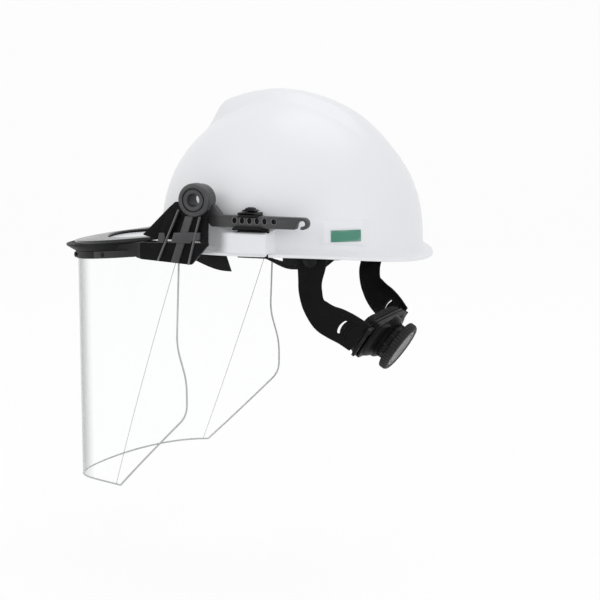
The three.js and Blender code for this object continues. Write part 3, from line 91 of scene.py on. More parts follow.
# Shell: side pads, rear panels with their stickers, inner key pockets
PAD_X = 108.5
PAD_Y = (-24.0, 31.0)
PAD_Z = (2.5, 19.2)
PAD_EDGES = (20.0, 5.0)
PANEL_Y = (61.5, 90.0)
PANEL_Z = (6.5, 27.2)
PANEL_RISE = 1.2
PANEL_EDGE = 0.9
STICKER_Y = (67.2, 85.6)
STICKER_Z = (11.2, 20.0)
STICKER_THICKNESS = 0.5
KEY_ANGLES = (-48.0, 48.0, 132.0, 228.0)
POCKET_HALF = 13.0
POCKET_DEPTH = 6.0
POCKET_Z = (1.0, 20.0)
KEY_HALF = 9.0
KEY_BLADE = 2.2
KEY_PLATE = 2.4
KEY_PEG_RADIUS, KEY_PEG_Z = 2.4, 8.0

# Suspension: straps, headband, pads
STRAP_WIDTH = 19.0
STRAP_THICKNESS = 1.4
STRAP_START_Z, STRAP_TOP_Z = 24.5, 92.0
STRAP_BOW_POWER = 1.15
STRAP_DROP = STRAP_THICKNESS + RUN_GAP + FIT_GAP
BAND_HALF_WIDTH = 80.0
BAND_CENTRE_Y = 4.0
BAND_FRONT, BAND_REAR = 96.0, 94.0
BAND_PLAN_POWER = 2.3
BAND_THICKNESS = 1.8
BAND_TOP_Z, BAND_BOTTOM_Z = 23.0, -3.0
BAND_EAR_Y, BAND_EAR_Z = 48.0, -12.0
BAND_EAR_FRONT, BAND_EAR_REAR = (13.0, 28.0), (8.0, 14.0)
BAND_WINDOW = ((-15.0, 13.0), (-15.0, 0.2), (6.5, -0.5), (28.0, -6.0), (24.8, 13.0))
BROW_END_Y, BROW_DROP_Y = -22.0, -68.0
BROW_THICKNESS = 6.0
BROW_Z = (-8.0, 20.0)
BROW_END_Z = -16.0
BROW_SLANT = (4.5, -9.5)

# Nape arms: stations from the headband's ear to the ratchet, as shares of the way across, back
# and down, with shares of the width change, of the lean and of the toe-in
ARM_STATIONS = (
    (0.0, 0.0, 0.0, 0.0, 0.0, 1.0),
    (0.0, 0.0, 0.15, 0.1, 0.0, 1.0),
    (0.09, -0.08, 0.35, 1.0, 0.04, 0.5),
    (0.2, -0.11, 0.48, 1.0, 0.12, 0.2),
    (0.27, -0.06, 0.61, 1.0, 0.35, 0.0),
    (0.34, 0.08, 0.7, 1.4, 0.65, 0.0),
    (0.44, 0.27, 0.78, 1.8, 0.9, 0.0),
    (0.6, 0.5, 0.84, 2.0, 1.0, 0.0),
    (0.79, 0.75, 0.91, 2.0, 1.0, 0.0),
    (1.0, 1.0, 1.0, 2.0, 1.0, 0.0),
)
ARM_TOP = (78.58, 6.0)
ARM_END_X = 50.0
ARM_END_RISE, ARM_END_BACK = 2.5, -3.1
ARM_WIDTHS = (24.0, 19.4, 27.5)
ARM_THICKNESS = 2.4
ARM_TOE = 11.0
ARM_SLOT_STATION = 7
STUD_Y, STUD_Z = 52.0, -3.0
STUD_RADIUS, STUD_HEAD = 3.0, 6.0

# Ratchet, in its own frame: x to the wearer's right, y up, z rearwards
RATCHET_CENTRE = Vector((0.0, 83.0, -71.5))
RATCHET_LEAN = math.radians(34.0)
HOUSING_HALF = (42.0, 17.0)
HOUSING_FRONT = 7.0
HOUSING_RIM = 2.8
CHANNEL_HALF = 13.8
CHANNEL = (-1.6, 1.5)
PLATE_BACK = -4.4
NAPE_PAD_BACK = -12.5
SHAFT_RADIUS = 3.0
DRUM_RADIUS = 17.6
KNOB_NECK = 16.5
KNOB_BOTTOM, KNOB_NECK_TOP, KNOB_TOP = 9.3, 14.5, 22.0
KNOB_RECESS = 17.5
KNOB_RECESS_DEPTH = 3.0
KNOB_CAP_THICKNESS = 2.2

# Side arms, adapters and latches
SIDE_ARM_X = (101.3, 107.8)
SIDE_ARM_Z = (22.6, 31.8)
SIDE_ARM_Y = (-20.0, 49.3)
PIVOT = (-30.3, 43.4)
EYE_RADIUS, EYE_X = 12.0, 108.5
NOTCH_FIRST_Y, NOTCH_PITCH, NOTCH_Z = -0.4, 6.2, 28.1
NOTCH_HALF = (1.8, 2.4)
NOTCH_DEPTH = 2.2
ARM_HOLE_Y, ARM_HOLE_RADIUS = 32.2, 2.1
ARM_HOLE_DEPTH = 4.0
GROOVE_DEPTH = 2.0
HOOK = (55.0, 27.2)
HOOK_RADII = (4.6, 2.2)
HOOK_TURN = (125.0, -115.0)
ADAPTER_X = (98.5, 110.4)
ADAPTER_WALL = 2.0
ADAPTER_PLATE = 2.4
ADAPTER_Y = (3.0, 19.4)
WING_Y = (-1.8, 25.8)
TRAY_WALL = 1.1
TONGUE_X = (101.0, 104.4)
TONGUE_Y = (0.3, 25.7)
TONGUE_BOTTOM = -1.0
LATCH_Y = 11.6
LATCH_HALF = 3.8
LATCH_PAD_Y = (4.6, 17.0)
LATCH_BUTTON_Y = 10.6
LATCH_X = (98.8, 107.0)
LATCH_PAD_Z = 35.3
LATCH_RISE, LATCH_KNOB_RISE, LATCH_KNOB_HALF = 1.2, 2.6, 4.4
LATCH_LEG_Z = 25.2
LATCH_TOOTH_X = 102.7

# Pivot
BUSHING = 6.2
BUSHING_BORE = 4.4
BUSHING_INNER = 5.7
BUSHING_FLANGE = 8.5
WASHER_X = (108.8, 109.7)
HUB_RADIUS = 13.0
HUB_X = (110.0, 119.5)
HUB_SINK, HUB_SINK_DEPTH = 9.2, 3.0

# Shield frame
BOW_CENTRE_Y = -50.0
BOW_HALF_WIDTH = 99.0
BOW_REACH = 135.5
SHEET = 1.2
RAIL_OFFSET = SHEET / 2 + FIT_GAP
RAIL_WALL, RAIL_HEIGHT, RAIL_WAIST, RAIL_LEDGE = 2.4, 12.5, 1.1, 6.2
RAIL_LEVEL_Y, RAIL_LEVEL_Z, RAIL_SLOPE = -93.0, 7.0, 0.125
RAIL_END_Y = -46.0
LIP_REACH, LIP_REACH_SIDE, LIP_ROOT = 7.6, 0.8, 4.2
LIP_THICKNESS, LIP_DROP = 1.6, 2.1
LIP_SHARES = (0.45, 0.95)
PLATE_X = (112.0, 115.4)
PLATE_OUTLINE = ((-78.0, 8.9), (-78.0, -4.3), (-34.0, -7.0), (-20.0, 8.5), (-20.0, 10.2))
SHELF_Z = (2.0, 5.0)
FAIRING_END_Y, FAIRING_SLANT_Y = -112.0, (-83.0, -96.0)
FAIRING_BOW, FAIRING_STEPS = 0.8, 16
RETAINER_END_Y = -84.0
RETAINER_PANEL_Y = -138.4
RETAINER_PANEL_RISE = 0.4
RETAINER_THICKNESS = 0.8
RIVET_SHARE, RIVET_COUNT = 0.19, 5
RIVET_RADIUS, RIVET_HEAD, RIVET_HEAD_HEIGHT = 1.4, 2.4, 1.2
GUARD_OVERLAP, GUARD_THICKNESS, GUARD_RISE, GUARD_END_Y = 7.0, 1.6, 1.1, -76.0
GUARD_SEAT = 0.85
SHEET_EDGE = ((2.6, -51.8), (-75.0, -54.8), (-103.0, -46.5), (-131.0, -46.5), (-197.0, -113.0))
SHEET_BEAD = 0.75
CREASE = ((-5.0, -53.6), (-196.4, -117.5))
CREASE_HALF = 0.26
SHEET_TURN_ROUND = 9.0
SHEET_FRONT_Z = -207.5
SHEET_CORNER_Z = -197.0

# How finely shapes are cut
SHELL_COLUMNS = 216
DOME_ROWS = 44
INNER_ROWS = 24
BOW_COLUMNS = 120
BAND_COLUMNS = 168
ROUND_STEPS = 48
SMALL_STEPS = 24
CORNER_STEPS = 4
STRAP_STEPS = 48
KNOB_STEPS = 288
# Where and how fast the shield's tint deepens into painted shade towards its outline
SHEET_OUTLINE_SHADE_START, SHEET_OUTLINE_SHADE_POWER = 0.58, 0.85
SHEET_IOR = 1.14
EDGE = 0.45
FINE_EDGE = 0.25
SHARP = math.radians(32)


# Small sums
def lerp(start, end, share):
    return start + (end - start) * share


def span(value, start, end):
    return min(max((value - start) / (end - start), 0.0), 1.0)


def smooth(share):
    return share * share * (3 - 2 * share)


def hump(value, low, high, edge):
    return smooth(span(value, low, low + edge)) * (1 - smooth(span(value, high - edge, high)))


def bezier(a, b, c, steps):
    ways = [i / steps for i in range(steps + 1)]
    return [a * (1 - t) ** 2 + b * 2 * t * (1 - t) + c * t * t for t in ways]


# Frames that a drawing is laid in: a side view looks along X, and a plan looks down Z
SIDE_VIEW = Matrix(((0, 0, 1, 0), (1, 0, 0, 0), (0, 1, 0, 0), (0, 0, 0, 1)))
PLAN = Matrix.Identity(4)
REARWARD = Vector((0, math.cos(RATCHET_LEAN), -math.sin(RATCHET_LEAN)))
UPWARD = Vector((0, math.sin(RATCHET_LEAN), math.cos(RATCHET_LEAN)))


def basis(u, v, w, origin):
    turn = Matrix((u, v, w)).transposed().to_4x4()
    return Matrix.Translation(origin) @ turn


RATCHET = basis(Vector((-1, 0, 0)), UPWARD, REARWARD, RATCHET_CENTRE)
PIVOT_FRAME = Matrix.Translation(Vector((0, *PIVOT))) @ SIDE_VIEW


# A part is (points, faces). These make parts from drawings, rings and grids
def loft(rings, looped=False):
    count = len(rings[0])
    faces = []
    for start in range(len(rings) if looped else len(rings) - 1):
        end = (start + 1) % len(rings)
        for i in range(count):
            j = (i + 1) % count
            faces.append((start * count + i, start * count + j, end * count + j, end * count + i))
    if not looped:
        faces.append(tuple(range(count)))
        faces.append(tuple(range((len(rings) - 1) * count, len(rings) * count)))
    return [point for ring in rings for point in ring], faces


def sheet(outer, inner):
    rows, columns = len(outer), len(outer[0])
    points = [point for row in outer + inner for point in row]
    low = rows * columns
    faces = []
    for r in range(rows - 1):
        for c in range(columns - 1):
            a = r * columns + c
            faces.append((a, a + 1, a + columns + 1, a + columns))
            faces.append((low + a, low + a + columns, low + a + columns + 1, low + a + 1))
    top = [c for c in range(columns)]
    right = [r * columns + columns - 1 for r in range(rows)]
    bottom = [(rows - 1) * columns + c for c in reversed(range(columns))]
    left = [r * columns for r in reversed(range(rows))]
    for side in (top, right, bottom, left):
        for a, b in zip(side, side[1:]):
            faces.append((a, b, low + b, low + a))
    return points, faces


def spun(columns):
    count = len(columns[0]) - 2
    points = [columns[0][0]] + [p for column in columns for p in column[1:-1]] + [columns[0][-1]]
    end = len(points) - 1
    faces = []
    for i in range(len(columns)):
        here, there = 1 + i * count, 1 + ((i + 1) % len(columns)) * count
        faces.append((0, here, there))
        faces.extend((here + r, here + r + 1, there + r + 1, there + r) for r in range(count - 1))
        faces.append((end, there + count - 1, here + count - 1))
    return points, faces


def lathe(profile, frame_of, steps=ROUND_STEPS):
    rings = []
    for i in range(steps):
        turn = 2 * math.pi * i / steps
        rings.append([frame_of @ Vector((r * math.cos(turn), r * math.sin(turn), h)) for r, h in profile])
    return loft(rings, looped=True)


def rounded(loop, radius, steps=CORNER_STEPS):
    points = []
    for i, corner in enumerate(loop):
        here = Vector(corner)
        before, after = Vector(loop[i - 1]) - here, Vector(loop[(i + 1) % len(loop)]) - here
        start = here + before.normalized() * min(radius, before.length / 2)
        end = here + after.normalized() * min(radius, after.length / 2)
        points.extend(bezier(start, here, end, steps))
    return points


def oval(u, v, half_u, half_v, steps=SMALL_STEPS):
    turns = [2 * math.pi * i / steps for i in range(steps)]
    return [(u + half_u * math.cos(t), v + half_v * math.sin(t)) for t in turns]


def box_loop(u, v):
    return [(u[0], v[0]), (u[1], v[0]), (u[1], v[1]), (u[0], v[1])]


def temporary(name, data):
    holder = bpy.data.objects.new(name, data)
    bpy.context.scene.collection.objects.link(holder)
    return holder


def taken(holder):
    """The evaluated mesh of a scratch object as a part; the object is then removed."""
    graph = bpy.context.evaluated_depsgraph_get()
    mesh = bpy.data.meshes.new_from_object(holder.evaluated_get(graph))
    shape = bmesh.new()
    shape.from_mesh(mesh)
    bmesh.ops.remove_doubles(shape, verts=shape.verts, dist=WELD)
    bmesh.ops.recalc_face_normals(shape, faces=shape.faces)
    shape.verts.index_update()
    part = [v.co.copy() for v in shape.verts], [tuple(v.index for v in f.verts) for f in shape.faces]
    shape.free()
    bpy.data.meshes.remove(mesh)
    bpy.data.objects.remove(holder)
    return part


def plate(loops, low, high, view=SIDE_VIEW, edge=EDGE):
    """A flat drawing with holes, given thickness and rounded edges."""
    drawing = bpy.data.curves.new("drawing", "CURVE")
    drawing.dimensions = "2D"
    drawing.fill_mode = "BOTH"
    drawing.extrude = (high - low) / 2 - edge
    drawing.bevel_depth = edge
    drawing.bevel_resolution = 1
    drawing.offset = -edge
    for loop in loops:
        spline = drawing.splines.new("POLY")
        spline.points.add(len(loop) - 1)
        spline.points.foreach_set("co", [c for u, v in loop for c in (u, v, 0, 1)])
        spline.use_cyclic_u = True
    points, faces = taken(temporary("drawing", drawing))
    lift = Vector((0, 0, (low + high) / 2))
    return [view @ (point + lift) for point in points], faces


def block(x, y, z, edge=EDGE, round_corner=EDGE):
    return plate([rounded(box_loop(y, z), round_corner, 2)], *x, edge=edge)


def scratch_mesh(part):
    mesh = bpy.data.meshes.new("scratch")
    mesh.from_pydata([tuple(point) for point in part[0]], [], part[1])
    shape = bmesh.new()
    shape.from_mesh(mesh)
    bmesh.ops.recalc_face_normals(shape, faces=shape.faces)
    shape.to_mesh(mesh)
    shape.free()
    return mesh


def carved(part, *tools):
    """The part with each tool cut out of it in turn."""
    base = temporary("base", scratch_mesh(part))
    cutters = [temporary("cutter", scratch_mesh(tool)) for tool in tools]
    for cutter in cutters:
        cut = base.modifiers.new("cut", "BOOLEAN")
        cut.operation = "DIFFERENCE"
        cut.solver = "EXACT"
        cut.object = cutter
    result = taken(base)
    for cutter in cutters:
        bpy.data.objects.remove(cutter)
    return result


def together(*parts):
    points, faces = [], []
    for some_points, some_faces in parts:
        shift = len(points)
        points.extend(some_points)
        faces.extend(tuple(i + shift for i in face) for face in some_faces)
    return points, faces


def mirrored(part, side):
    return [Vector((point[0] * side, point[1], point[2])) for point in part[0]], part[1]


def piece(name, part, body, finish, nodes=(), sharp=SHARP, extras=()):
    """A part made into an object of the scene, riding on its body in place of its CAD nodes.

    Extras are further parts of the same piece, each with a finish of its own.
    """
    mesh = bpy.data.meshes.new(name)
    points, faces = together(part, *(extra for extra, _ in extras))
    mesh.from_pydata([tuple(Vector(point) * MM) for point in points], [], faces)
    finish_of_face = [0] * len(part[1])
    for number, (extra, _) in enumerate(extras, 1):
        finish_of_face += [number] * len(extra[1])
    mesh.polygons.foreach_set("material_index", finish_of_face)
    shape = bmesh.new()
    shape.from_mesh(mesh)
    bmesh.ops.remove_doubles(shape, verts=shape.verts, dist=WELD * MM)
    bmesh.ops.recalc_face_normals(shape, faces=shape.faces)
    shape.to_mesh(mesh)
    shape.free()
    mesh.shade_smooth()
    mesh.set_sharp_from_angle(angle=sharp)
    made = bpy.data.objects.new(name, mesh)
    bpy.context.scene.collection.objects.link(made)
    for material in (finish, *(own for _, own in extras)):
        mesh.materials.append(material)
    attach(made, body)
    if nodes:
        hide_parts(*nodes)
    return made


SIDES = (("left", 1), ("right", -1))


def paired(name, part, body, finish, extras=()):
    """The same piece on the wearer's left and, mirrored, on the right."""
    for word, side in SIDES:
        bodies = body if isinstance(body, str) else body[word]
        others = [(mirrored(extra, side), own) for extra, own in extras]
        piece(f"{name}_{word}_moulding", mirrored(part, side), bodies, finish, (f"{name}_{word}",),
              extras=others)


# Materials
class Tree:
    """A short way to write nodes: each call makes one and sets its inputs."""

    def __init__(self, tree):
        self.tree = tree

    def node(self, kind, settings=None, **inputs):
        made = self.tree.nodes.new(kind)
        for key, value in (settings or {}).items():
            setattr(made, key, value)
        for key, value in inputs.items():
            self.put(made.inputs[key.replace("_", " ")], value)
        return made

    def put(self, socket, value):
        if isinstance(value, bpy.types.NodeSocket):
            self.tree.links.new(value, socket)
        else:
            socket.default_value = value

    def math(self, operation, first, second=0.0):
        made = self.tree.nodes.new("ShaderNodeMath")
        made.operation = operation
        self.put(made.inputs[0], first)
        self.put(made.inputs[1], second)
        return made.outputs[0]

    def mix(self, factor, first, second):
        made = self.tree.nodes.new("ShaderNodeMix")
        made.data_type = "RGBA"
        self.put(made.inputs["Factor"], factor)
        self.put(made.inputs[6], first)
        self.put(made.inputs[7], second)
        return made.outputs[2]

    def ramp(self, value, low, high, to_low=0.0, to_high=1.0):
        made = self.node("ShaderNodeMapRange", Value=value)
        for key, number in (("From Min", low), ("From Max", high), ("To Min", to_low), ("To Max", to_high)):
            made.inputs[key].default_value = number
        return made.outputs["Result"]

    def noise(self, place, scale, detail=2.0, roughness=0.5):
        made = self.node("ShaderNodeTexNoise", Vector=place, Scale=scale, Detail=detail)
        made.inputs["Roughness"].default_value = roughness
        return made.outputs["Fac"]


def new_group(name, inputs, outputs):
    group = bpy.data.node_groups.new(name, "ShaderNodeTree")
    for label, kind, default in inputs:
        socket = group.interface.new_socket(label, in_out="INPUT", socket_type=f"NodeSocket{kind}")
        socket.default_value = default
    for label, kind in outputs:
        group.interface.new_socket(label, in_out="OUTPUT", socket_type=f"NodeSocket{kind}")
    tree = Tree(group)
    return tree, tree.node("NodeGroupInput").outputs, tree.node("NodeGroupOutput").inputs


def moulding_group():
    """Moulded plastic or rubber: fine grain, soft mottling, paler worn edges and faint rubs."""
    if "moulded_surface" in bpy.data.node_groups:
        return bpy.data.node_groups["moulded_surface"]
    tree, given, out = new_group("moulded_surface", (
        ("Colour", "Color", (0.5, 0.5, 0.5, 1)), ("Worn Colour", "Color", (0.7, 0.7, 0.7, 1)),
        ("Grain Size", "Float", 900.0), ("Mottle", "Float", 0.1), ("Roughness", "Float", 0.5),
        ("Wear", "Float", 0.5), ("Rubs", "Float", 0.1),
    ), (("Colour", "Color"), ("Roughness", "Float"), ("Height", "Float")))
    place = tree.node("ShaderNodeTexCoord").outputs["Object"]
    broad = tree.noise(place, 18.0, 3.0)
    grain = tree.noise(place, given["Grain Size"], 2.0, 0.6)
    bare = tree.mix(tree.math("MULTIPLY", broad, given["Mottle"]), given["Colour"], given["Worn Colour"])
    pointed = tree.node("ShaderNodeNewGeometry").outputs["Pointiness"]
    edge = tree.ramp(pointed, 0.52, 0.62)
    patchy = tree.ramp(tree.noise(place, 60.0, 4.0), 0.42, 0.7)
    worn = tree.math("MULTIPLY", tree.math("MULTIPLY", edge, patchy), given["Wear"])
    tree.put(out["Colour"], tree.mix(worn, bare, given["Worn Colour"]))
    stretched = tree.node("ShaderNodeMapping", Vector=place)
    stretched.inputs["Scale"].default_value = (40.0, 260.0, 700.0)
    rubs = tree.ramp(tree.noise(stretched.outputs["Vector"], 1.0, 3.0), 0.58, 0.75)
    rub_share = tree.math("MULTIPLY", rubs, given["Rubs"])
    uneven = tree.math("MULTIPLY", tree.math("SUBTRACT", broad, 0.5), given["Mottle"])
    rough = tree.math("ADD", tree.math("ADD", given["Roughness"], uneven), rub_share)
    tree.put(out["Roughness"], rough)
    tree.put(out["Height"], tree.math("SUBTRACT", grain, tree.math("MULTIPLY", rub_share, 0.3)))
    return tree.tree


def weave_group():
    """Woven cloth or webbing: over and under threads with the raised crossings painted lighter as painted light, fuzz
    and uneven dye.
    """
    if "woven_threads" in bpy.data.node_groups:
        return bpy.data.node_groups["woven_threads"]
    tree, given, out = new_group("woven_threads", (
        ("Colour", "Color", (0.03, 0.03, 0.03, 1)), ("Thread Colour", "Color", (0.1, 0.1, 0.1, 1)),
        ("Threads", "Float", 900.0), ("Roughness", "Float", 0.85),
    ), (("Colour", "Color"), ("Roughness", "Float"), ("Height", "Float")))
    place = tree.node("ShaderNodeTexCoord").outputs["Object"]
    turned = tree.node("ShaderNodeMapping", Vector=place)
    turned.inputs["Rotation"].default_value = (0.6, 0.5, math.pi / 4)
    crossing = []
    for direction in ("X", "Y", "Z"):
        wave = tree.node("ShaderNodeTexWave", {"bands_direction": direction},
                         Vector=turned.outputs["Vector"], Scale=given["Threads"], Distortion=0.6)
        wave.inputs["Detail"].default_value = 1.0
        crossing.append(wave.outputs["Fac"])
    over = tree.math("MAXIMUM", tree.math("MULTIPLY", crossing[0], crossing[2]),
                     tree.math("MULTIPLY", crossing[1], crossing[2]))
    fuzz = tree.noise(place, 1400.0, 3.0, 0.7)
    dye = tree.noise(place, 45.0, 3.0)
    # The raised crossings take the paler thread colour as painted light; fuzz and dye add to the tone.
    lit = tree.math("ADD", tree.math("MULTIPLY", over, 0.55), tree.math("MULTIPLY", fuzz, 0.25))
    shade = tree.math("ADD", lit, tree.math("MULTIPLY", dye, 0.2))
    tree.put(out["Colour"], tree.mix(shade, given["Colour"], given["Thread Colour"]))
    tree.put(out["Roughness"], tree.math("ADD", given["Roughness"], tree.math("MULTIPLY", fuzz, 0.1)))
    tree.put(out["Height"], tree.math("ADD", over, tree.math("MULTIPLY", fuzz, 0.4)))
    return tree.tree


def new_material(name):
    material = bpy.data.materials.new(name)
    material.use_nodes = True
    material.node_tree.nodes.clear()
    return material, Tree(material.node_tree)


def surfaced(name, group, bump, bump_reach, fixed, **values):
    """A material whose colour, roughness and bump come from a group, with fixed shader values."""
    if name in bpy.data.materials:
        return bpy.data.materials[name]
    material, tree = new_material(name)
    effect = tree.node("ShaderNodeGroup", {"node_tree": group}, **values)
    height = tree.node("ShaderNodeBump", Height=effect.outputs["Height"], Strength=bump, Distance=bump_reach)
    shader = tree.node("ShaderNodeBsdfPrincipled", Base_Color=effect.outputs["Colour"],
                       Roughness=effect.outputs["Roughness"], Normal=height.outputs["Normal"])
    for key, value in fixed.items():
        shader.inputs[key].default_value = value
    tree.node("ShaderNodeOutputMaterial", Surface=shader.outputs["BSDF"])
    return material


def opaque(colour):
    return (*colour, 1.0)


def white_shell():
    colours = bpy.context.scene.hat_colours
    return surfaced("white_shell", moulding_group(), 0.06, 0.0004, {"IOR": 1.5, "Specular IOR Level": 0.3},
                    Colour=opaque(colours.shell), Worn_Colour=opaque(colours.shell_worn), Grain_Size=420.0, Mottle=0.1, Roughness=0.3, Wear=0.35, Rubs=0.12)


def black_nylon():
    colours = bpy.context.scene.hat_colours
    return surfaced("black_nylon", moulding_group(), 0.3, 0.0003, {"IOR": 1.5, "Specular IOR Level": 0.13},
                    Colour=opaque(colours.nylon), Worn_Colour=opaque(colours.nylon_worn),
                    Grain_Size=1500.0, Mottle=0.15, Roughness=0.38, Wear=0.8, Rubs=0.14)


def dull_nylon():
    colours = bpy.context.scene.hat_colours
    return surfaced("dull_nylon", moulding_group(), 0.3, 0.0003, {"IOR": 1.5, "Specular IOR Level": 0.05},
                    Colour=opaque(colours.nylon), Worn_Colour=opaque(colours.nylon_worn),
                    Grain_Size=1500.0, Mottle=0.15, Roughness=0.38, Wear=1.0, Rubs=0.14)


def satin_nylon():
    colours = bpy.context.scene.hat_colours
    return surfaced("satin_nylon", moulding_group(), 0.34, 0.0003, {"IOR": 1.5, "Specular IOR Level": 0.5},
                    Colour=opaque(colours.satin), Worn_Colour=opaque(colours.satin_wear_and_highlight),
                    Grain_Size=1300.0, Mottle=0.22, Roughness=0.4, Wear=0.8, Rubs=0.16)


# A pale grey for the raised rims round the arm's notches and the bracket's thin ribs: a painted highlight where they
# catch the light.
def painted_highlight_rims():
    colours = bpy.context.scene.hat_colours
    return surfaced("painted_highlight_rims", moulding_group(), 0.34, 0.0003, {"IOR": 1.5, "Specular IOR Level": 0.6},
                    Colour=opaque(colours.satin_wear_and_highlight), Worn_Colour=opaque(colours.satin_wear_and_highlight),
                    Grain_Size=1300.0, Mottle=0.22, Roughness=0.35, Wear=0.4, Rubs=0.16)


def knob_face():
    colours = bpy.context.scene.hat_colours
    return surfaced("knob_face", moulding_group(), 0.9, 0.0008, {"IOR": 1.5, "Specular IOR Level": 0.8},
                    Colour=opaque(colours.satin), Worn_Colour=opaque(colours.satin_wear_and_highlight),
                    Grain_Size=620.0, Mottle=0.3, Roughness=0.3, Wear=1.0, Rubs=0.2)


def polished_nylon():
    colours = bpy.context.scene.hat_colours
    return surfaced("polished_nylon", moulding_group(), 0.12, 0.0003, {"IOR": 1.5, "Specular IOR Level": 0.3},
                    Colour=opaque(colours.nylon), Worn_Colour=opaque(colours.nylon_worn),
                    Grain_Size=900.0, Mottle=0.2, Roughness=0.2, Wear=0.6, Rubs=0.14)


def black_rubber():
    colours = bpy.context.scene.hat_colours
    return surfaced("black_rubber", moulding_group(), 0.4, 0.0004, {"IOR": 1.5, "Specular IOR Level": 0.12},
                    Colour=opaque(colours.rubber), Worn_Colour=opaque(colours.satin_wear_and_highlight),
                    Grain_Size=1100.0, Mottle=0.3, Roughness=0.5, Wear=0.5, Rubs=0.1)


def sticker_film():
    colours = bpy.context.scene.hat_colours
    return surfaced("sticker_film", moulding_group(), 0.1, 0.0002, {"IOR": 1.5, "Specular IOR Level": 0.4},
                    Colour=opaque(colours.sticker), Worn_Colour=opaque(colours.shell),
                    Grain_Size=2600.0, Mottle=0.06, Roughness=0.3, Wear=0.3, Rubs=0.2)


def spring_steel():
    colours = bpy.context.scene.hat_colours
    return surfaced("spring_steel", moulding_group(), 0.12, 0.0002, {"Metallic": 1.0},
                    Colour=opaque(colours.steel), Worn_Colour=opaque(colours.steel),
                    Grain_Size=2200.0, Mottle=0.2, Roughness=0.28, Wear=0.1, Rubs=0.2)


def strap_webbing():
    colours = bpy.context.scene.hat_colours
    return surfaced("strap_webbing", weave_group(), 0.6, 0.0005, {"Sheen Weight": 0.1, "Sheen Roughness": 0.5, "Specular IOR Level": 0.2},
                    Colour=opaque(colours.cloth), Thread_Colour=opaque(colours.thread_painted_light),
                    Threads=360.0, Roughness=0.8)


def pad_cloth():
    colours = bpy.context.scene.hat_colours
    return surfaced("pad_cloth", weave_group(), 0.5, 0.0004, {"Sheen Weight": 0.06, "Sheen Roughness": 0.5, "Specular IOR Level": 0.15},
                    Colour=opaque(colours.cloth), Thread_Colour=opaque(colours.thread_painted_light),
                    Threads=620.0, Roughness=0.86)


def clear_sheet():
    """Clear polycarbonate: light passes to the floor, and hairline scuffs stay on the surface. Its tint deepens to near
    black where the sheet turns away from view, as painted shade for its dark outline.
    """
    if "clear_sheet" in bpy.data.materials:
        return bpy.data.materials["clear_sheet"]
    material, tree = new_material("clear_sheet")
    colours = bpy.context.scene.hat_colours
    effect = tree.node("ShaderNodeGroup", {"node_tree": moulding_group()},
                       Colour=opaque(colours.shield), Worn_Colour=opaque((1.0, 1.0, 1.0)),
                       Grain_Size=120.0, Mottle=0.02, Roughness=0.0, Wear=0.2, Rubs=0.05)
    wave = tree.node("ShaderNodeBump", Height=effect.outputs["Height"], Strength=0.01, Distance=0.0002)
    # Painted shade: the colour darkens as the sheet turns away from view.
    facing = tree.node("ShaderNodeLayerWeight", Blend=0.5).outputs["Facing"]
    depth = tree.math("POWER", tree.ramp(facing, SHEET_OUTLINE_SHADE_START, 1.0), SHEET_OUTLINE_SHADE_POWER)
    outline_shaded = tree.mix(depth, effect.outputs["Colour"], opaque(colours.shield_turn_shade))
    shader = tree.node("ShaderNodeBsdfPrincipled", Base_Color=outline_shaded,
                       Roughness=effect.outputs["Roughness"], Normal=wave.outputs["Normal"])
    shader.inputs["Transmission Weight"].default_value = 1.0
    shader.inputs["IOR"].default_value = SHEET_IOR
    see_through = tree.node("ShaderNodeBsdfTransparent")
    path = tree.node("ShaderNodeLightPath")
    mixed = tree.node("ShaderNodeMixShader", Fac=path.outputs["Is Shadow Ray"])
    tree.put(mixed.inputs[1], shader.outputs["BSDF"])
    tree.put(mixed.inputs[2], see_through.outputs["BSDF"])
    tree.node("ShaderNodeOutputMaterial", Surface=mixed.outputs["Shader"])
    return material


def painted_edge_shade():
    """Grey beads on the shield's cut edges and crease: painted shade for the dark lines that clear edges show."""
    colours = bpy.context.scene.hat_colours
    return surfaced("painted_edge_shade", moulding_group(), 0.1, 0.0002, {"IOR": 1.5, "Specular IOR Level": 0.3},
                    Colour=opaque(colours.shield_edge_shade), Worn_Colour=opaque(colours.shield),
                    Grain_Size=900.0, Mottle=0.2, Roughness=0.3, Wear=0.2, Rubs=0.1)


# Shell
def plan_radius(angle, half_width, front, rear, power):
    along = front if math.sin(angle) < 0 else rear
    total = abs(math.cos(angle) / half_width) ** power + abs(math.sin(angle) / along) ** power
    return total ** (-1 / power)


def dome_radius(angle, inset=0.0):
    reaches = DOME_HALF_WIDTH - inset, DOME_FRONT - inset, DOME_REAR - inset
    return plan_radius(angle, *reaches, DOME_PLAN_POWER)


def rim_radius(angle):
    flared = dome_radius(angle, -RIM_FLARE)
    across, along = math.cos(angle), math.sin(angle)
    if along >= 0:
        return flared
    square = (across / PEAK_HALF_WIDTH) ** 2 + (along / PEAK_REACH) ** 2
    middle = -2 * along * PEAK_CENTRE_Y / PEAK_REACH ** 2
    rest = (PEAK_CENTRE_Y / PEAK_REACH) ** 2 - 1
    peaked = (-middle + math.sqrt(middle ** 2 - 4 * square * rest)) / (2 * square)
    return (flared ** RIM_BLEND_POWER + peaked ** RIM_BLEND_POWER) ** (1 / RIM_BLEND_POWER)


def brim_level(x, y):
    rear = span(y, RIM_DIP_Y, DOME_REAR + RIM_FLARE)
    front = span(y, PEAK_CENTRE_Y, PEAK_CENTRE_Y - PEAK_REACH)
    crown = PEAK_CROWN * front * (1 - (x / PEAK_HALF_WIDTH) ** 2)
    return crown - REAR_RIM_DIP * rear ** RIM_DIP_POWER - PEAK_DROP * front


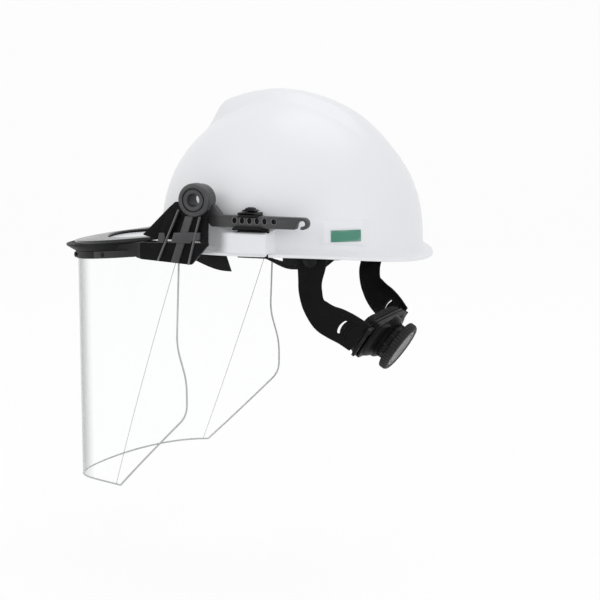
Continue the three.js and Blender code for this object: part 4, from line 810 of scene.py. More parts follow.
def ridge_rise(x, y):
    top = bpy.context.scene.hat_sizes.ridge_height / MM
    across = 1 - smooth(span(abs(x), RIDGE_TOP_HALF, RIDGE_FOOT_HALF))
    along = smooth(span(y, RIDGE_FRONT_Y, RIDGE_FULL_Y)) * (1 - smooth(span(y, RIDGE_FADE_Y, RIDGE_END_Y)))
    return across * along * lerp(RIDGE_FRONT_HEIGHT, top, span(y, RIDGE_FULL_Y, RIDGE_LEVEL_Y))


def dome_point(angle, height_share, inset=0.0, rise=0.0):
    width = max(1 - height_share ** DOME_SIDE_POWER, 0.0) ** (1 / DOME_TOP_POWER)
    radius = dome_radius(angle, inset) * width
    height = (DOME_HEIGHT - inset) * height_share
    point = Vector((radius * math.cos(angle), radius * math.sin(angle), height))
    slope = Vector((point.x / DOME_HALF_WIDTH ** 2, point.y / DOME_REAR ** 2, point.z / DOME_HEIGHT ** 2))
    return point + slope.normalized() * (ridge_rise(point.x, point.y) + rise)


def panel_rise(angle, height):
    y = dome_radius(angle) * math.sin(angle)
    return PANEL_RISE * hump(y, *PANEL_Y, PANEL_EDGE) * hump(height, *PANEL_Z, PANEL_EDGE)


def ring_point(angle, radius, height):
    return Vector((radius * math.cos(angle), radius * math.sin(angle), height))


def brim_point(angle, radius, lift):
    flat = ring_point(angle, radius, 0)
    return Vector((flat.x, flat.y, brim_level(flat.x, flat.y) + lift))


def plain_flank(angle):
    """The shell's side from above the panel's top down to the end of the rim's fillet."""
    base = dome_radius(angle)
    foot = brim_point(angle, base, RIM_EDGE + RIM_RISE)
    top = PANEL_Z[1] - PANEL_EDGE
    rows = [lerp(top, max(foot.z, 0), (row + 1) / 12) for row in range(11)]
    points = [dome_point(angle, z / DOME_HEIGHT, 0, panel_rise(angle, z)) for z in rows]
    fillet = bezier(foot, brim_point(angle, base, RIM_EDGE), brim_point(angle, base + RIM_FILLET, RIM_EDGE), 4)
    return points + fillet


def padded_flank(angle):
    """The same stretch where the slotted pad stands proud of it."""
    reach = PAD_X / abs(math.cos(angle))
    low, high = PAD_Z
    top = PANEL_Z[1] - PANEL_EDGE
    points = [dome_point(angle, lerp(top, high, share) / DOME_HEIGHT) for share in (0.3, 0.6, 0.85, 1.0)]
    corner = [(3.4, 0.0), (1.6, 0.3), (0.45, 1.2), (0.0, 3.0)]
    points += [ring_point(angle, reach - back, high - down) for back, down in corner]
    points += [ring_point(angle, reach, lerp(high, low, share)) for share in (0.2, 0.4, 0.6, 0.8)]
    points += [ring_point(angle, reach - back, low + up) for back, up in ((0.0, 1.2), (0.2, 0.5), (0.9, 0.0), (1.6, 0.0))]
    return points


def shell_column(angle):
    base, tip = dome_radius(angle), rim_radius(angle)
    wall = bpy.context.scene.hat_sizes.shell_wall / MM
    shoulder = math.acos((PANEL_Z[1] + 2 * PANEL_EDGE) / DOME_HEIGHT)
    column = [dome_point(angle, math.cos(shoulder * row / DOME_ROWS)) for row in range(DOME_ROWS + 1)]
    for z in (PANEL_Z[1] + PANEL_EDGE / 2, PANEL_Z[1], PANEL_Z[1] - PANEL_EDGE / 2, PANEL_Z[1] - PANEL_EDGE):
        column.append(dome_point(angle, z / DOME_HEIGHT, 0, panel_rise(angle, z)))
    share = 0.0
    if abs(math.cos(angle)) > math.sqrt(0.5):
        along = PAD_X * math.tan(angle) * math.copysign(1, math.cos(angle))
        rear = span(along, PAD_Y[1] - PAD_EDGES[1], PAD_Y[1])
        share = smooth(span(along, PAD_Y[0], PAD_Y[0] + PAD_EDGES[0])) * (1 - smooth(rear))
    flank = plain_flank(angle)
    if share > 0:
        flank = [plain.lerp(pad, share) for plain, pad in zip(flank, padded_flank(angle))]
    column += flank
    inner_end = tip - RIM_EDGE_ROUND
    for row in range(1, 4):
        plain = brim_point(angle, lerp(base + RIM_FILLET, inner_end, row / 3), RIM_EDGE)
        pad = ring_point(angle, tip + lerp(0.4, 0.0, row / 3), RIM_EDGE - 0.2)
        column.append(plain.lerp(pad, share))
    column += bezier(brim_point(angle, inner_end, RIM_EDGE) if share == 0 else column[-1],
                     brim_point(angle, tip, RIM_EDGE), brim_point(angle, tip, RIM_EDGE / 2), 2)[1:]
    column += bezier(brim_point(angle, tip, RIM_EDGE / 2), brim_point(angle, tip, 0),
                     brim_point(angle, inner_end, 0), 2)[1:]
    inside = dome_point(angle, 0, wall)
    inside_radius = math.hypot(inside.x, inside.y)
    column += [brim_point(angle, lerp(inner_end, inside_radius, row / 3), 0) for row in range(1, 4)]
    turns = [lerp(math.pi / 2, 0, row / INNER_ROWS) for row in range(INNER_ROWS + 1)]
    column += [dome_point(angle, math.cos(turn), wall) for turn in turns]
    return column


def shell_angles():
    """Even steps round the shell, with more where the pads and panels begin and end."""
    angles = [2 * math.pi * i / SHELL_COLUMNS for i in range(SHELL_COLUMNS)]
    extras = []
    for y, edge in zip(PAD_Y, PAD_EDGES):
        inward = edge if y == PAD_Y[0] else -edge
        extras += [math.atan2(y + inward * step / 10, PAD_X) for step in range(-1, 12)]
    for y in PANEL_Y:
        inward = PANEL_EDGE if y == PANEL_Y[0] else -PANEL_EDGE
        for step in range(-1, 5):
            place = y + inward * step / 3
            along = math.sqrt(1 - (place / DOME_REAR) ** 2)
            guess = math.atan2(place, DOME_HALF_WIDTH * along)
            for _ in range(8):
                guess += (place - dome_radius(guess) * math.sin(guess)) / (2 * DOME_HALF_WIDTH)
            extras.append(guess)
    extras += [math.pi - extra for extra in extras]
    near = 0.3 / DOME_REAR
    for extra in (value % (2 * math.pi) for value in extras):
        angles = [value for value in angles if abs(value - extra) > 3 * near] + [extra]
    return sorted(angles)


def wall_frame(angle):
    """A frame at the shell's inner wall: u out through the wall, v along it and w up."""
    wall = bpy.context.scene.hat_sizes.shell_wall / MM
    radius = dome_radius(angle, wall)
    x, y = radius * math.cos(angle), radius * math.sin(angle)
    reach = DOME_FRONT if y < 0 else DOME_REAR
    power = DOME_PLAN_POWER - 1
    slope_x = math.copysign(abs(x / DOME_HALF_WIDTH) ** power, x) / DOME_HALF_WIDTH
    slope_y = math.copysign(abs(y / reach) ** power, y) / reach
    out = Vector((slope_x, slope_y, 0)).normalized()
    return basis(out, Vector((-out.y, out.x, 0)), Vector((0, 0, 1)), Vector((x, y, 0)))


def key_pocket(angle):
    middle, half = -POCKET_DEPTH / 2, KEY_BLADE / 2 + FIT_GAP
    outline = rounded(box_loop((-POCKET_DEPTH, FIT_GAP), (-POCKET_HALF, POCKET_HALF)), 1.0)
    slot = box_loop((middle - half, middle + half), (-KEY_HALF - FIT_GAP, KEY_HALF + FIT_GAP))
    return plate([outline, slot], *POCKET_Z, view=wall_frame(angle), edge=FINE_EDGE)


def make_shell():
    dome = spun([shell_column(angle) for angle in shell_angles()])
    pockets = [key_pocket(math.radians(angle)) for angle in KEY_ANGLES]
    tongue_x = (TONGUE_X[0] - FIT_GAP, TONGUE_X[1] + FIT_GAP)
    tongue_y = (TONGUE_Y[0] - FIT_GAP, TONGUE_Y[1] + FIT_GAP)
    slot = block(tongue_x, tongue_y, (TONGUE_BOTTOM - CUT_OVERRUN, PAD_Z[1] + CUT_OVERRUN), FINE_EDGE)
    open_dome = carved(dome, slot, mirrored(slot, -1))
    piece("shell_moulding", together(open_dome, *pockets), "helmet", white_shell(), ("shell",))


def make_stickers():
    def grid(rise):
        rows = []
        for row in range(7):
            z = lerp(*STICKER_Z, row / 6)
            line = []
            for column in range(13):
                y = lerp(*STICKER_Y, column / 12)
                angle = math.atan2(y, DOME_HALF_WIDTH * math.sqrt(1 - (y / DOME_REAR) ** 2))
                line.append(dome_point(angle, z / DOME_HEIGHT, 0, rise))
            rows.append(line)
        return rows
    low = PANEL_RISE + FIT_GAP
    part = sheet(grid(low + STICKER_THICKNESS), grid(low))
    paired("reflective_patch", part, "helmet", sticker_film())


# Suspension
def strap_ring(centre, across, out, width, thickness, rise=0.0):
    """A strap's section: flat faces, round edges, and a face that can be crowned."""
    ring = []
    half, round_half = width / 2, thickness / 2
    for side in (1, -1):
        for step in range(7):
            turn = lerp(-math.pi / 2, math.pi / 2, step / 6)
            u = side * (half - round_half + round_half * math.cos(turn))
            ring.append(centre + across * u + out * (side * round_half * math.sin(turn)))
        ring.append(centre + across * (side * half / 2) + out * (side * (round_half + rise * 0.7)))
        ring.append(centre + out * (side * (round_half + rise)))
        ring.append(centre - across * (side * half / 2) + out * (side * (round_half + rise * 0.7)))
    return ring


def strap_end(angle):
    place = wall_frame(angle)
    depth = -POCKET_DEPTH - FIT_GAP - KEY_PLATE - FIT_GAP - STRAP_THICKNESS / 2
    return place @ Vector((depth, 0, 0)), place.to_3x3() @ Vector((0, 1, 0))


def crown_strap(start_angle, end_angle, drop):
    ends = strap_end(math.radians(start_angle)), strap_end(math.radians(end_angle))
    stops = []
    for step in range(STRAP_STEPS + 1):
        share = 2 * step / STRAP_STEPS
        turn = min(share, 2 - share) * math.pi / 2
        place = ends[0 if share <= 1 else 1][0] * max(math.cos(turn), 0.0) ** (1 / STRAP_BOW_POWER)
        place.z = lerp(STRAP_START_Z, STRAP_TOP_Z - drop, math.sin(turn))
        stops.append((place, ends[0][1].lerp(-ends[1][1], share / 2).normalized()))
    rings = []
    for i, (place, across) in enumerate(stops):
        along = (stops[min(i + 1, STRAP_STEPS)][0] - stops[max(i - 1, 0)][0]).normalized()
        rings.append(strap_ring(place, across, along.cross(across), STRAP_WIDTH, STRAP_THICKNESS))
    return loft(rings)


def make_straps():
    straps = (("left_to_right", KEY_ANGLES[0], KEY_ANGLES[2], 0.0), ("right_to_left", KEY_ANGLES[3], KEY_ANGLES[1], STRAP_DROP))
    for word, start, end, drop in straps:
        node = f"crown_strap_{word}"
        piece(f"{node}_webbing", crown_strap(start, end, drop), "helmet", strap_webbing(), (node,))


def band_point(angle, inset, z):
    reaches = BAND_HALF_WIDTH - inset, BAND_FRONT - inset, BAND_REAR - inset
    radius = plan_radius(angle, *reaches, BAND_PLAN_POWER)
    return Vector((radius * math.cos(angle), BAND_CENTRE_Y + radius * math.sin(angle), z))


def band_angle(y):
    low, high = -math.pi / 2, math.pi / 2
    for _ in range(30):
        middle = (low + high) / 2
        low, high = (middle, high) if band_point(middle, 0, 0).y < y else (low, middle)
    return low


def band_low(y):
    half, flank = BAND_EAR_FRONT if y < BAND_EAR_Y else BAND_EAR_REAR
    ear = smooth(1 - span(abs(y - BAND_EAR_Y), half, half + flank))
    return lerp(BAND_BOTTOM_Z, BAND_EAR_Z, ear)


def make_headband():
    rings, bead = [], []
    for i in range(BAND_COLUMNS):
        angle = 2 * math.pi * i / BAND_COLUMNS
        low = band_low(band_point(angle, 0, 0).y)
        corners = ((0, BAND_TOP_Z), (BAND_THICKNESS, BAND_TOP_Z), (BAND_THICKNESS, low), (0, low))
        loop = rounded(corners, 0.6, 2)
        rings.append([band_point(angle, inset, z) for inset, z in loop])
        bead.append([band_point(angle, -0.35 * v, low + 1.5 + u) for u, v in oval(0, 0, 1.1, 1.0, 8)])
    across = BAND_HALF_WIDTH + CUT_OVERRUN
    window = plate([rounded(BAND_WINDOW, 2.0)], -across, across, edge=0.01)
    stud_hole = plate([oval(STUD_Y, STUD_Z, STUD_RADIUS + FIT_GAP, STUD_RADIUS + FIT_GAP)], -across, across, edge=0.01)
    pegs = []
    for angle in KEY_ANGLES:
        turn = wall_frame(math.radians(angle)) @ SIDE_VIEW
        hole = oval(0, KEY_PEG_Z, KEY_PEG_RADIUS + FIT_GAP, KEY_PEG_RADIUS + FIT_GAP)
        pegs.append(plate([hole], -4 * POCKET_DEPTH, -POCKET_DEPTH, view=turn, edge=0.01))
    band = carved(loft(rings, looped=True), window, stud_hole, *pegs)
    piece("headband_moulding", together(band, loft(bead, looped=True)), "helmet", black_nylon(), ("headband",))


def make_brow_pad():
    rows, columns = 14, 120
    inset = BAND_THICKNESS + FIT_GAP

    def grid(is_face):
        lines = []
        for row in range(rows + 1):
            share = row / rows
            start = band_angle(BROW_END_Y + lerp(BROW_SLANT[0], BROW_SLANT[1], share))
            line = []
            for column in range(columns + 1):
                end_share = column / columns
                angle = lerp(start, -math.pi - start, end_share)
                low = lerp(BROW_Z[0], BROW_END_Z, smooth(span(band_point(angle, inset, 0).y, BROW_DROP_Y, BROW_END_Y)))
                edge = min(share, 1 - share) * 2
                ends = min(end_share, 1 - end_share) * 26
                plump = min(1.0, (1 - (1 - min(edge * 2.4, 1.0)) ** 2) ** 0.5) * min(1.0, ends) ** 0.5
                seam = 0.22 * math.exp(-((edge - 0.3) / 0.07) ** 2)
                channel = 0.12 * math.exp(-((abs((end_share * 9) % 1 - 0.5) - 0.5) / 0.04) ** 2)
                ripple = 0.06 * noise.noise(Vector((end_share * 60, share * 6, 0)))
                depth = BROW_THICKNESS * max(0.12, plump * (0.94 - seam - channel + ripple)) if is_face else 0.0
                line.append(band_point(angle, inset + depth, lerp(low, BROW_Z[1], share)))
            lines.append(line)
        return lines
    pad = piece("brow_pad_cushion", sheet(grid(False), grid(True)), "helmet", pad_cloth(), ("brow_pad",))


# Nape assembly
def catmull(values, place):
    """A smooth curve through rows of numbers."""
    index = min(int(place), len(values) - 2)
    t = place - index
    rows = [values[min(max(index + k, 0), len(values) - 1)] for k in (-1, 0, 1, 2)]
    return [0.5 * (2 * b + (c - a) * t + (2 * a - 5 * b + 4 * c - d) * t * t + (3 * b - a - 3 * c + d) * t ** 3)
            for a, b, c, d in zip(*rows)]


def arm_rows():
    end = RATCHET_CENTRE + UPWARD * ARM_END_RISE + REARWARD * ARM_END_BACK
    rows = []
    for across, back, down, width, lean, toe in ARM_STATIONS:
        wide = lerp(lerp(ARM_WIDTHS[0], ARM_WIDTHS[1], min(width, 1)), ARM_WIDTHS[2], max(width - 1, 0))
        rows.append((lerp(ARM_TOP[0], ARM_END_X, across), lerp(STUD_Y, end.y, back),
                     lerp(ARM_TOP[1], end.z, down), wide, lean, toe))
    return rows


def arm_frame(rows, place):
    """The strap's middle at a place along it, its width, and the ways along, across and out."""
    here, step = catmull(rows, place), 0.05
    ahead = Vector(catmull(rows, min(place + step, len(rows) - 1))[:3])
    behind = Vector(catmull(rows, max(place - step, 0))[:3])
    turn = (math.pi / 2 - RATCHET_LEAN) * here[4]
    toe = math.radians(ARM_TOE) * here[5]
    along = (ahead - behind).normalized()
    across = Vector((-math.sin(toe), math.cos(turn) * math.cos(toe), math.sin(turn)))
    across = (across - along * across.dot(along)).normalized()
    return Vector(here[:3]), here[3], along, across, along.cross(across)


def arm_bar(rows, place, half_length, half_wide, height, bow=0.0):
    """A low rib or a cutter that lies across the strap at a place along it."""
    centre, _, along, across, out = arm_frame(rows, place)
    view = basis(along, across, out, centre)
    line = [(bow * (1 - (2 * i / 10 - 1) ** 2), lerp(-half_length, half_length, i / 10)) for i in range(11)]
    loop = [(u + half_wide, v) for u, v in line] + [(u - half_wide, v) for u, v in reversed(line)]
    return plate([rounded(loop, half_wide * 0.9, 2)], *height, view=view, edge=FINE_EDGE)


def make_nape_arms():
    rows = arm_rows()
    steps = 6 * (len(rows) - 1)
    rings = []
    for step in range(steps + 1):
        centre, width, _, across, out = arm_frame(rows, step / 6)
        rings.append(strap_ring(centre, across, out, width, ARM_THICKNESS))
    face = ARM_THICKNESS / 2
    slot_place = ARM_SLOT_STATION + 0.5
    cutter = (-face - CUT_OVERRUN, face + CUT_OVERRUN)
    slot = arm_bar(rows, slot_place, 6.5, 1.3, cutter, bow=-2.0)
    stud_hole = plate([oval(STUD_Y, STUD_Z, STUD_RADIUS + FIT_GAP, STUD_RADIUS + FIT_GAP)],
                      ARM_TOP[0] - 8, ARM_TOP[0] + 8, edge=0.01)
    strap = carved(loft(rings), slot, stud_hole)
    side = 1 if arm_frame(rows, 3)[4].x > 0 else -1
    proud = sorted((side * (face - 0.4), side * (face + 0.7)))
    ribs = [arm_bar(rows, slot_place + shift, 8.0, 0.55, proud, bow=-2.0) for shift in (0.28, 0.52, 0.76)]
    paired("nape_arm", together(strap, *ribs), "nape", dull_nylon())


def squircle(half_u, half_v, corner, steps=64):
    """A rectangle with round corners as a ring of even points."""
    points = []
    for i in range(steps):
        turn = 2 * math.pi * (i + 0.5) / steps
        u, v = math.cos(turn), math.sin(turn)
        su, sv = math.copysign(abs(u) ** 0.5, u), math.copysign(abs(v) ** 0.5, v)
        reach_u, reach_v = half_u - corner, half_v - corner
        points.append((min(max(su * half_u * 1.2, -reach_u), reach_u) + corner * u,
                       min(max(sv * half_v * 1.2, -reach_v), reach_v) + corner * v))
    return points


def ratchet_loft(levels, corner):
    rings = []
    for (half_u, half_v, z) in levels:
        loop = squircle(half_u, half_v, min(corner, half_u, half_v))
        rings.append([RATCHET @ Vector((u, v, z)) for u, v in loop])
    return loft(rings)


def make_housing():
    w, h = HOUSING_HALF
    low, rim = CHANNEL[0], HOUSING_RIM
    case = ratchet_loft([(w - 0.6, h - 0.6, low), (w, h, low + 0.6), (w, h, rim - 0.5), (w - 0.5, h - 0.5, rim)], 9.4)
    cover_levels = [(w - 2.2, h - 1.4, rim - 0.6)]
    for step in range(1, 9):
        turn = step / 8 * math.pi / 2
        cover_levels.append((lerp(w - 2.2, 19.0, (1 - math.cos(turn)) ** 0.8), lerp(h - 1.4, h - 3.0, 1 - math.cos(turn)),
                             lerp(rim - 0.6, HOUSING_FRONT, math.sin(turn))))
    cover = ratchet_loft(cover_levels, 13.0)
    inset = (w + CUT_OVERRUN) * 2
    channel = plate([box_loop((-inset / 2, inset / 2), (-CHANNEL_HALF, CHANNEL_HALF))],
                    CHANNEL[0] - CUT_OVERRUN, CHANNEL[1], view=RATCHET, edge=0.01)
    bore = plate([oval(0, 0, SHAFT_RADIUS + FIT_GAP, SHAFT_RADIUS + FIT_GAP)], 0, HOUSING_FRONT + CUT_OVERRUN,
                 view=RATCHET, edge=0.01)
    drum = lathe([(SHAFT_RADIUS + FIT_GAP, rim), (DRUM_RADIUS + 2.5, rim), (DRUM_RADIUS + 1.8, HOUSING_FRONT - 0.4),
                  (DRUM_RADIUS, KNOB_BOTTOM - FIT_GAP - 0.5), (DRUM_RADIUS - 0.6, KNOB_BOTTOM - FIT_GAP),
                  (SHAFT_RADIUS + FIT_GAP, KNOB_BOTTOM - FIT_GAP)], RATCHET)
    parts = together(carved(case, channel, bore), carved(cover, channel, bore), drum)
    piece("ratchet_housing_moulding", parts, "nape", dull_nylon(), ("ratchet_housing",))
    high = CHANNEL[0] - FIT_GAP
    back = ratchet_loft([(w - 0.6, h - 0.6, PLATE_BACK), (w, h, PLATE_BACK + 0.6), (w, h, high - 0.5), (w - 0.5, h - 0.5, high)], 9.4)
    piece("ratchet_back_plate_moulding", back, "nape", dull_nylon(), ("ratchet_back_plate",))


def make_nape_pad():
    rows, columns = 16, 40
    w, h = HOUSING_HALF[0] - 1.5, HOUSING_HALF[1] + 1.5
    back = PLATE_BACK - FIT_GAP

    def grid(is_face):
        lines = []
        for row in range(rows + 1):
            v = lerp(-1, 1, row / rows)
            line = []
            for column in range(columns + 1):
                u = lerp(-1, 1, column / columns)
                pull = 1 - 0.16 * (abs(u) * abs(v)) ** 3
                plump = ((1 - abs(u) ** 8) * (1 - abs(v) ** 5)) ** 0.5
                seam = 0.14 * math.exp(-((max(abs(u) ** 2, abs(v)) - 0.84) / 0.035) ** 2)
                tuft = 0.1 * math.exp(-((abs(abs(u) - 0.34)) / 0.045) ** 2) * (1 - v * v)
                ripple = 0.05 * noise.noise(Vector((u * 9, v * 5, 1)))
                fullness = max(0.1, plump * (0.95 - seam - tuft + ripple)) if is_face else 0.0
                z = lerp(back, NAPE_PAD_BACK, fullness)
                line.append(RATCHET @ Vector((u * w * pull, v * h * pull, z)))
            lines.append(line)
        return lines
    pad = piece("nape_pad_cushion", sheet(grid(False), grid(True)), "nape", pad_cloth(), ("nape_pad",))


def make_knob():
    sizes = bpy.context.scene.hat_sizes
    radius, ribs = sizes.knob_radius / MM, sizes.knob_ribs
    recess_z = KNOB_TOP - KNOB_RECESS_DEPTH

    def ring(level, radius_at):
        points = []
        for i in range(KNOB_STEPS):
            turn = 2 * math.pi * i / KNOB_STEPS
            reach = radius_at(turn)
            points.append(RATCHET @ Vector((reach * math.cos(turn), reach * math.sin(turn), level)))
        return points

    def plain(size):
        return lambda turn: size

    def grips(size, depth):
        return lambda turn: size - depth * smooth(abs(math.sin(turn * 6)) ** 0.5)

    def ribbed(size, depth):
        return lambda turn: size - depth * (0.5 + 0.5 * math.cos(turn * ribs)) ** 2
    bore = SHAFT_RADIUS + FIT_GAP
    rings = [
        ring(recess_z, plain(bore)), ring(KNOB_BOTTOM, plain(bore)), ring(KNOB_BOTTOM, plain(KNOB_NECK - 0.6)),
        ring(KNOB_BOTTOM + 0.6, plain(KNOB_NECK)), ring(KNOB_BOTTOM + 1.2, grips(KNOB_NECK, 1.3)),
        ring(KNOB_NECK_TOP - 0.6, grips(KNOB_NECK, 1.3)), ring(KNOB_NECK_TOP, plain(KNOB_NECK)),
        ring(KNOB_NECK_TOP, plain(radius - 1.6)), ring(KNOB_NECK_TOP + 0.4, ribbed(radius - 0.7, 0.3)),
        ring(KNOB_NECK_TOP + 1.3, ribbed(radius, 0.55)), ring(KNOB_TOP - 2.4, ribbed(radius, 0.55)),
        ring(KNOB_TOP - 1.0, ribbed(radius - 0.8, 0.4)), ring(KNOB_TOP - 0.25, plain(radius - 1.9)),
        ring(KNOB_TOP, plain(radius - 2.9)), ring(KNOB_TOP - 0.3, plain(KNOB_RECESS + 0.5)),
        ring(KNOB_TOP - 0.9, plain(KNOB_RECESS)), ring(recess_z, plain(KNOB_RECESS)),
    ]
    piece("ratchet_knob_moulding", loft(rings, looped=True), "knob", black_rubber(), ("ratchet_knob",))
    low = recess_z + FIT_GAP
    high = low + KNOB_CAP_THICKNESS
    edge = KNOB_RECESS - FIT_GAP
    profile = [(0, low), (edge, low), (edge, high - 0.6), (edge - 0.6, high - 0.1), (edge - 2.5, high - 0.1),
               (edge - 2.9, high - 0.7), (edge - 3.7, high - 0.7), (edge - 4.2, high - 0.1), (edge * 0.4, high - 0.9),
               (0, high - 1.1)]
    piece("knob_cap_moulding", lathe(profile, RATCHET, ROUND_STEPS * 2), "knob", knob_face(), ("knob_cap",))


# Side arms, adapters, latches
def make_side_arms():
    (x0, x1), (z0, z1), (y0, y1) = SIDE_ARM_X, SIDE_ARM_Z, SIDE_ARM_Y
    pivot_y, pivot_z = PIVOT
    hook_y, hook_z = HOOK
    outer, inner = HOOK_RADII
    neck = 8.0
    outline = [
        (y0, z0), (y1, z0), (hook_y - outer, hook_z), (hook_y - inner, hook_z + inner), (hook_y, hook_z + outer),
        (y0 + neck, z1), (pivot_y + EYE_RADIUS, pivot_z - EYE_RADIUS / 3), (pivot_y, pivot_z - EYE_RADIUS / 2),
        (y0 - neck, z1),
    ]
    bar = plate([rounded(outline, 1.0)], x0, x1)
    notches = [oval(NOTCH_FIRST_Y + NOTCH_PITCH * i, NOTCH_Z, *NOTCH_HALF) for i in range(5)]
    tools = [plate([notch], x1 - NOTCH_DEPTH, x1 + CUT_OVERRUN, edge=0.01) for notch in notches]
    tools.append(plate([oval(ARM_HOLE_Y, NOTCH_Z, ARM_HOLE_RADIUS, ARM_HOLE_RADIUS)], x1 - ARM_HOLE_DEPTH,
                       x1 + CUT_OVERRUN, edge=0.01))
    groove_y = (NOTCH_FIRST_Y - NOTCH_PITCH, NOTCH_FIRST_Y + NOTCH_PITCH * 5)
    tools.append(block((x0 - CUT_OVERRUN, x0 + GROOVE_DEPTH), groove_y, (NOTCH_Z - 2, NOTCH_Z + 2), 0.01, 0.5))
    bore = BUSHING + FIT_GAP
    tools.append(lathe([(0, x0 - CUT_OVERRUN), (bore, x0 - CUT_OVERRUN), (bore, EYE_X + CUT_OVERRUN), (0, EYE_X + CUT_OVERRUN)], PIVOT_FRAME))
    bar = carved(bar, *tools)
    # The raised rims round the notches and the hole take the pale finish, a painted highlight.
    rims = []
    for i in range(5):
        middle = NOTCH_FIRST_Y + NOTCH_PITCH * i
        loops = [oval(middle, NOTCH_Z, NOTCH_HALF[0] + 0.55, NOTCH_HALF[1] + 0.55), oval(middle, NOTCH_Z, *NOTCH_HALF)]
        rims.append(plate(loops, x1 - 0.4, x1 + 0.3, edge=0.12))
    eye_edge = 1.0
    eye = lathe([(bore, x0), (EYE_RADIUS - eye_edge, x0), (EYE_RADIUS, x0 + eye_edge), (EYE_RADIUS, EYE_X - eye_edge),
                 (EYE_RADIUS - eye_edge, EYE_X), (bore, EYE_X)], PIVOT_FRAME)
    turns = [math.radians(lerp(*HOOK_TURN, i / 16)) for i in range(17)]
    hook = [(hook_y + outer * math.cos(t), hook_z + outer * math.sin(t)) for t in turns]
    hook += [(hook_y + inner * math.cos(t), hook_z + inner * math.sin(t)) for t in reversed(turns)]
    tip = plate([rounded(hook, 1.0, 2)], x0, x1)
    rims.append(plate([oval(ARM_HOLE_Y, NOTCH_Z, ARM_HOLE_RADIUS + 0.5, ARM_HOLE_RADIUS + 0.5),
                       oval(ARM_HOLE_Y, NOTCH_Z, ARM_HOLE_RADIUS, ARM_HOLE_RADIUS)], x1 - 0.4, x1 + 0.3, edge=0.12))
    # Dull black plates at the notch bottoms, darker than the bar: painted shade in the recesses.
    notch_shade_pits = [plate([oval(NOTCH_FIRST_Y + NOTCH_PITCH * i, NOTCH_Z, *NOTCH_HALF)],
                  x1 - NOTCH_DEPTH - 0.2, x1 - NOTCH_DEPTH + 1.6, edge=0.05) for i in range(5)]
    paired("side_arm", together(bar, eye, tip), "slide_arms", satin_nylon(),
           extras=[(together(*rims), painted_highlight_rims()), (together(*notch_shade_pits), dull_nylon())])


def make_adapters():
    x0, x1 = ADAPTER_X
    top, low = SIDE_ARM_Z[1] + RUN_GAP, SIDE_ARM_Z[0] - RUN_GAP
    roof, floor = top + ADAPTER_WALL, low - TRAY_WALL
    y0, y1 = ADAPTER_Y
    window = (LATCH_Y - LATCH_HALF - FIT_GAP, LATCH_Y + LATCH_HALF + FIT_GAP)
    front, rear = block((x0, x0 + ADAPTER_PLATE), (y0, window[0]), (floor, roof)), block((x0, x0 + ADAPTER_PLATE), (window[1], y1), (floor, roof))
    sill = block((x0, x0 + ADAPTER_PLATE), window, (floor, LATCH_LEG_Z - RUN_GAP))
    cover = block((x0 + ADAPTER_PLATE / 2, x1), (y0, y1), (top, roof))
    lip_x = (x1 - ADAPTER_WALL, x1)
    slant = 2.6
    lip = plate([rounded([(y0 - 0.6, top - 1.7), (y1 + 0.6, top - 1.7), (y1 - slant, roof), (y0 + slant, roof)], 0.8)], *lip_x, edge=0.6)
    wing = plate([rounded([(WING_Y[0], floor), (WING_Y[1] - 1.0, floor), (WING_Y[1] - 4.4, low + 1.7),
                           (WING_Y[0] + 1.6, low + 1.7)], 0.7)], *lip_x, edge=0.6)
    tray = block((x0, x1), (WING_Y[0], WING_Y[1] - 1.6), (floor, low), edge=0.6)
    tongue = block(TONGUE_X, TONGUE_Y, (TONGUE_BOTTOM, low - TRAY_WALL / 2))
    paired("slot_adapter", together(front, rear, sill, cover, lip, wing, tray, tongue), "helmet", black_nylon())


def make_latches():
    x0, x1 = LATCH_X
    pad_top = LATCH_PAD_Z + LATCH_RISE
    top = LATCH_PAD_Z + LATCH_KNOB_RISE
    leg = block((x0, x0 + ADAPTER_PLATE - 2 * FIT_GAP), (LATCH_Y - LATCH_HALF, LATCH_Y + LATCH_HALF), (LATCH_LEG_Z, pad_top))
    pad = plate([rounded([(LATCH_PAD_Y[0], LATCH_PAD_Z), (LATCH_PAD_Y[1], LATCH_PAD_Z), (LATCH_PAD_Y[1] - 2.0, pad_top),
                          (LATCH_PAD_Y[0] + 2.0, pad_top)], 0.5)], x0, x1)
    half = LATCH_KNOB_HALF
    middle = LATCH_BUTTON_Y
    button = plate([rounded([(middle - half, LATCH_PAD_Z + 0.4), (middle + half, LATCH_PAD_Z + 0.4),
                             (middle + half - 1.6, top), (middle - half + 1.6, top)], 1.1)],
                   x0, x1 - LATCH_RISE, edge=0.8)
    ridges = [block((x0 + 2, x1 - 3), (middle + shift - 0.3, middle + shift + 0.3), (top - 0.4, top + 0.25), 0.15, 0.2)
              for shift in (-1.5, 0.0, 1.5)]
    tooth = block((x0, LATCH_TOOTH_X), (LATCH_Y - LATCH_HALF / 2, LATCH_Y + LATCH_HALF / 2), (NOTCH_Z - 1.4, NOTCH_Z + 1.4))
    bodies = {"left": "latch_left", "right": "latch_right"}
    paired("adjuster_latch", together(leg, pad, button, tooth, *ridges), bodies, black_nylon())


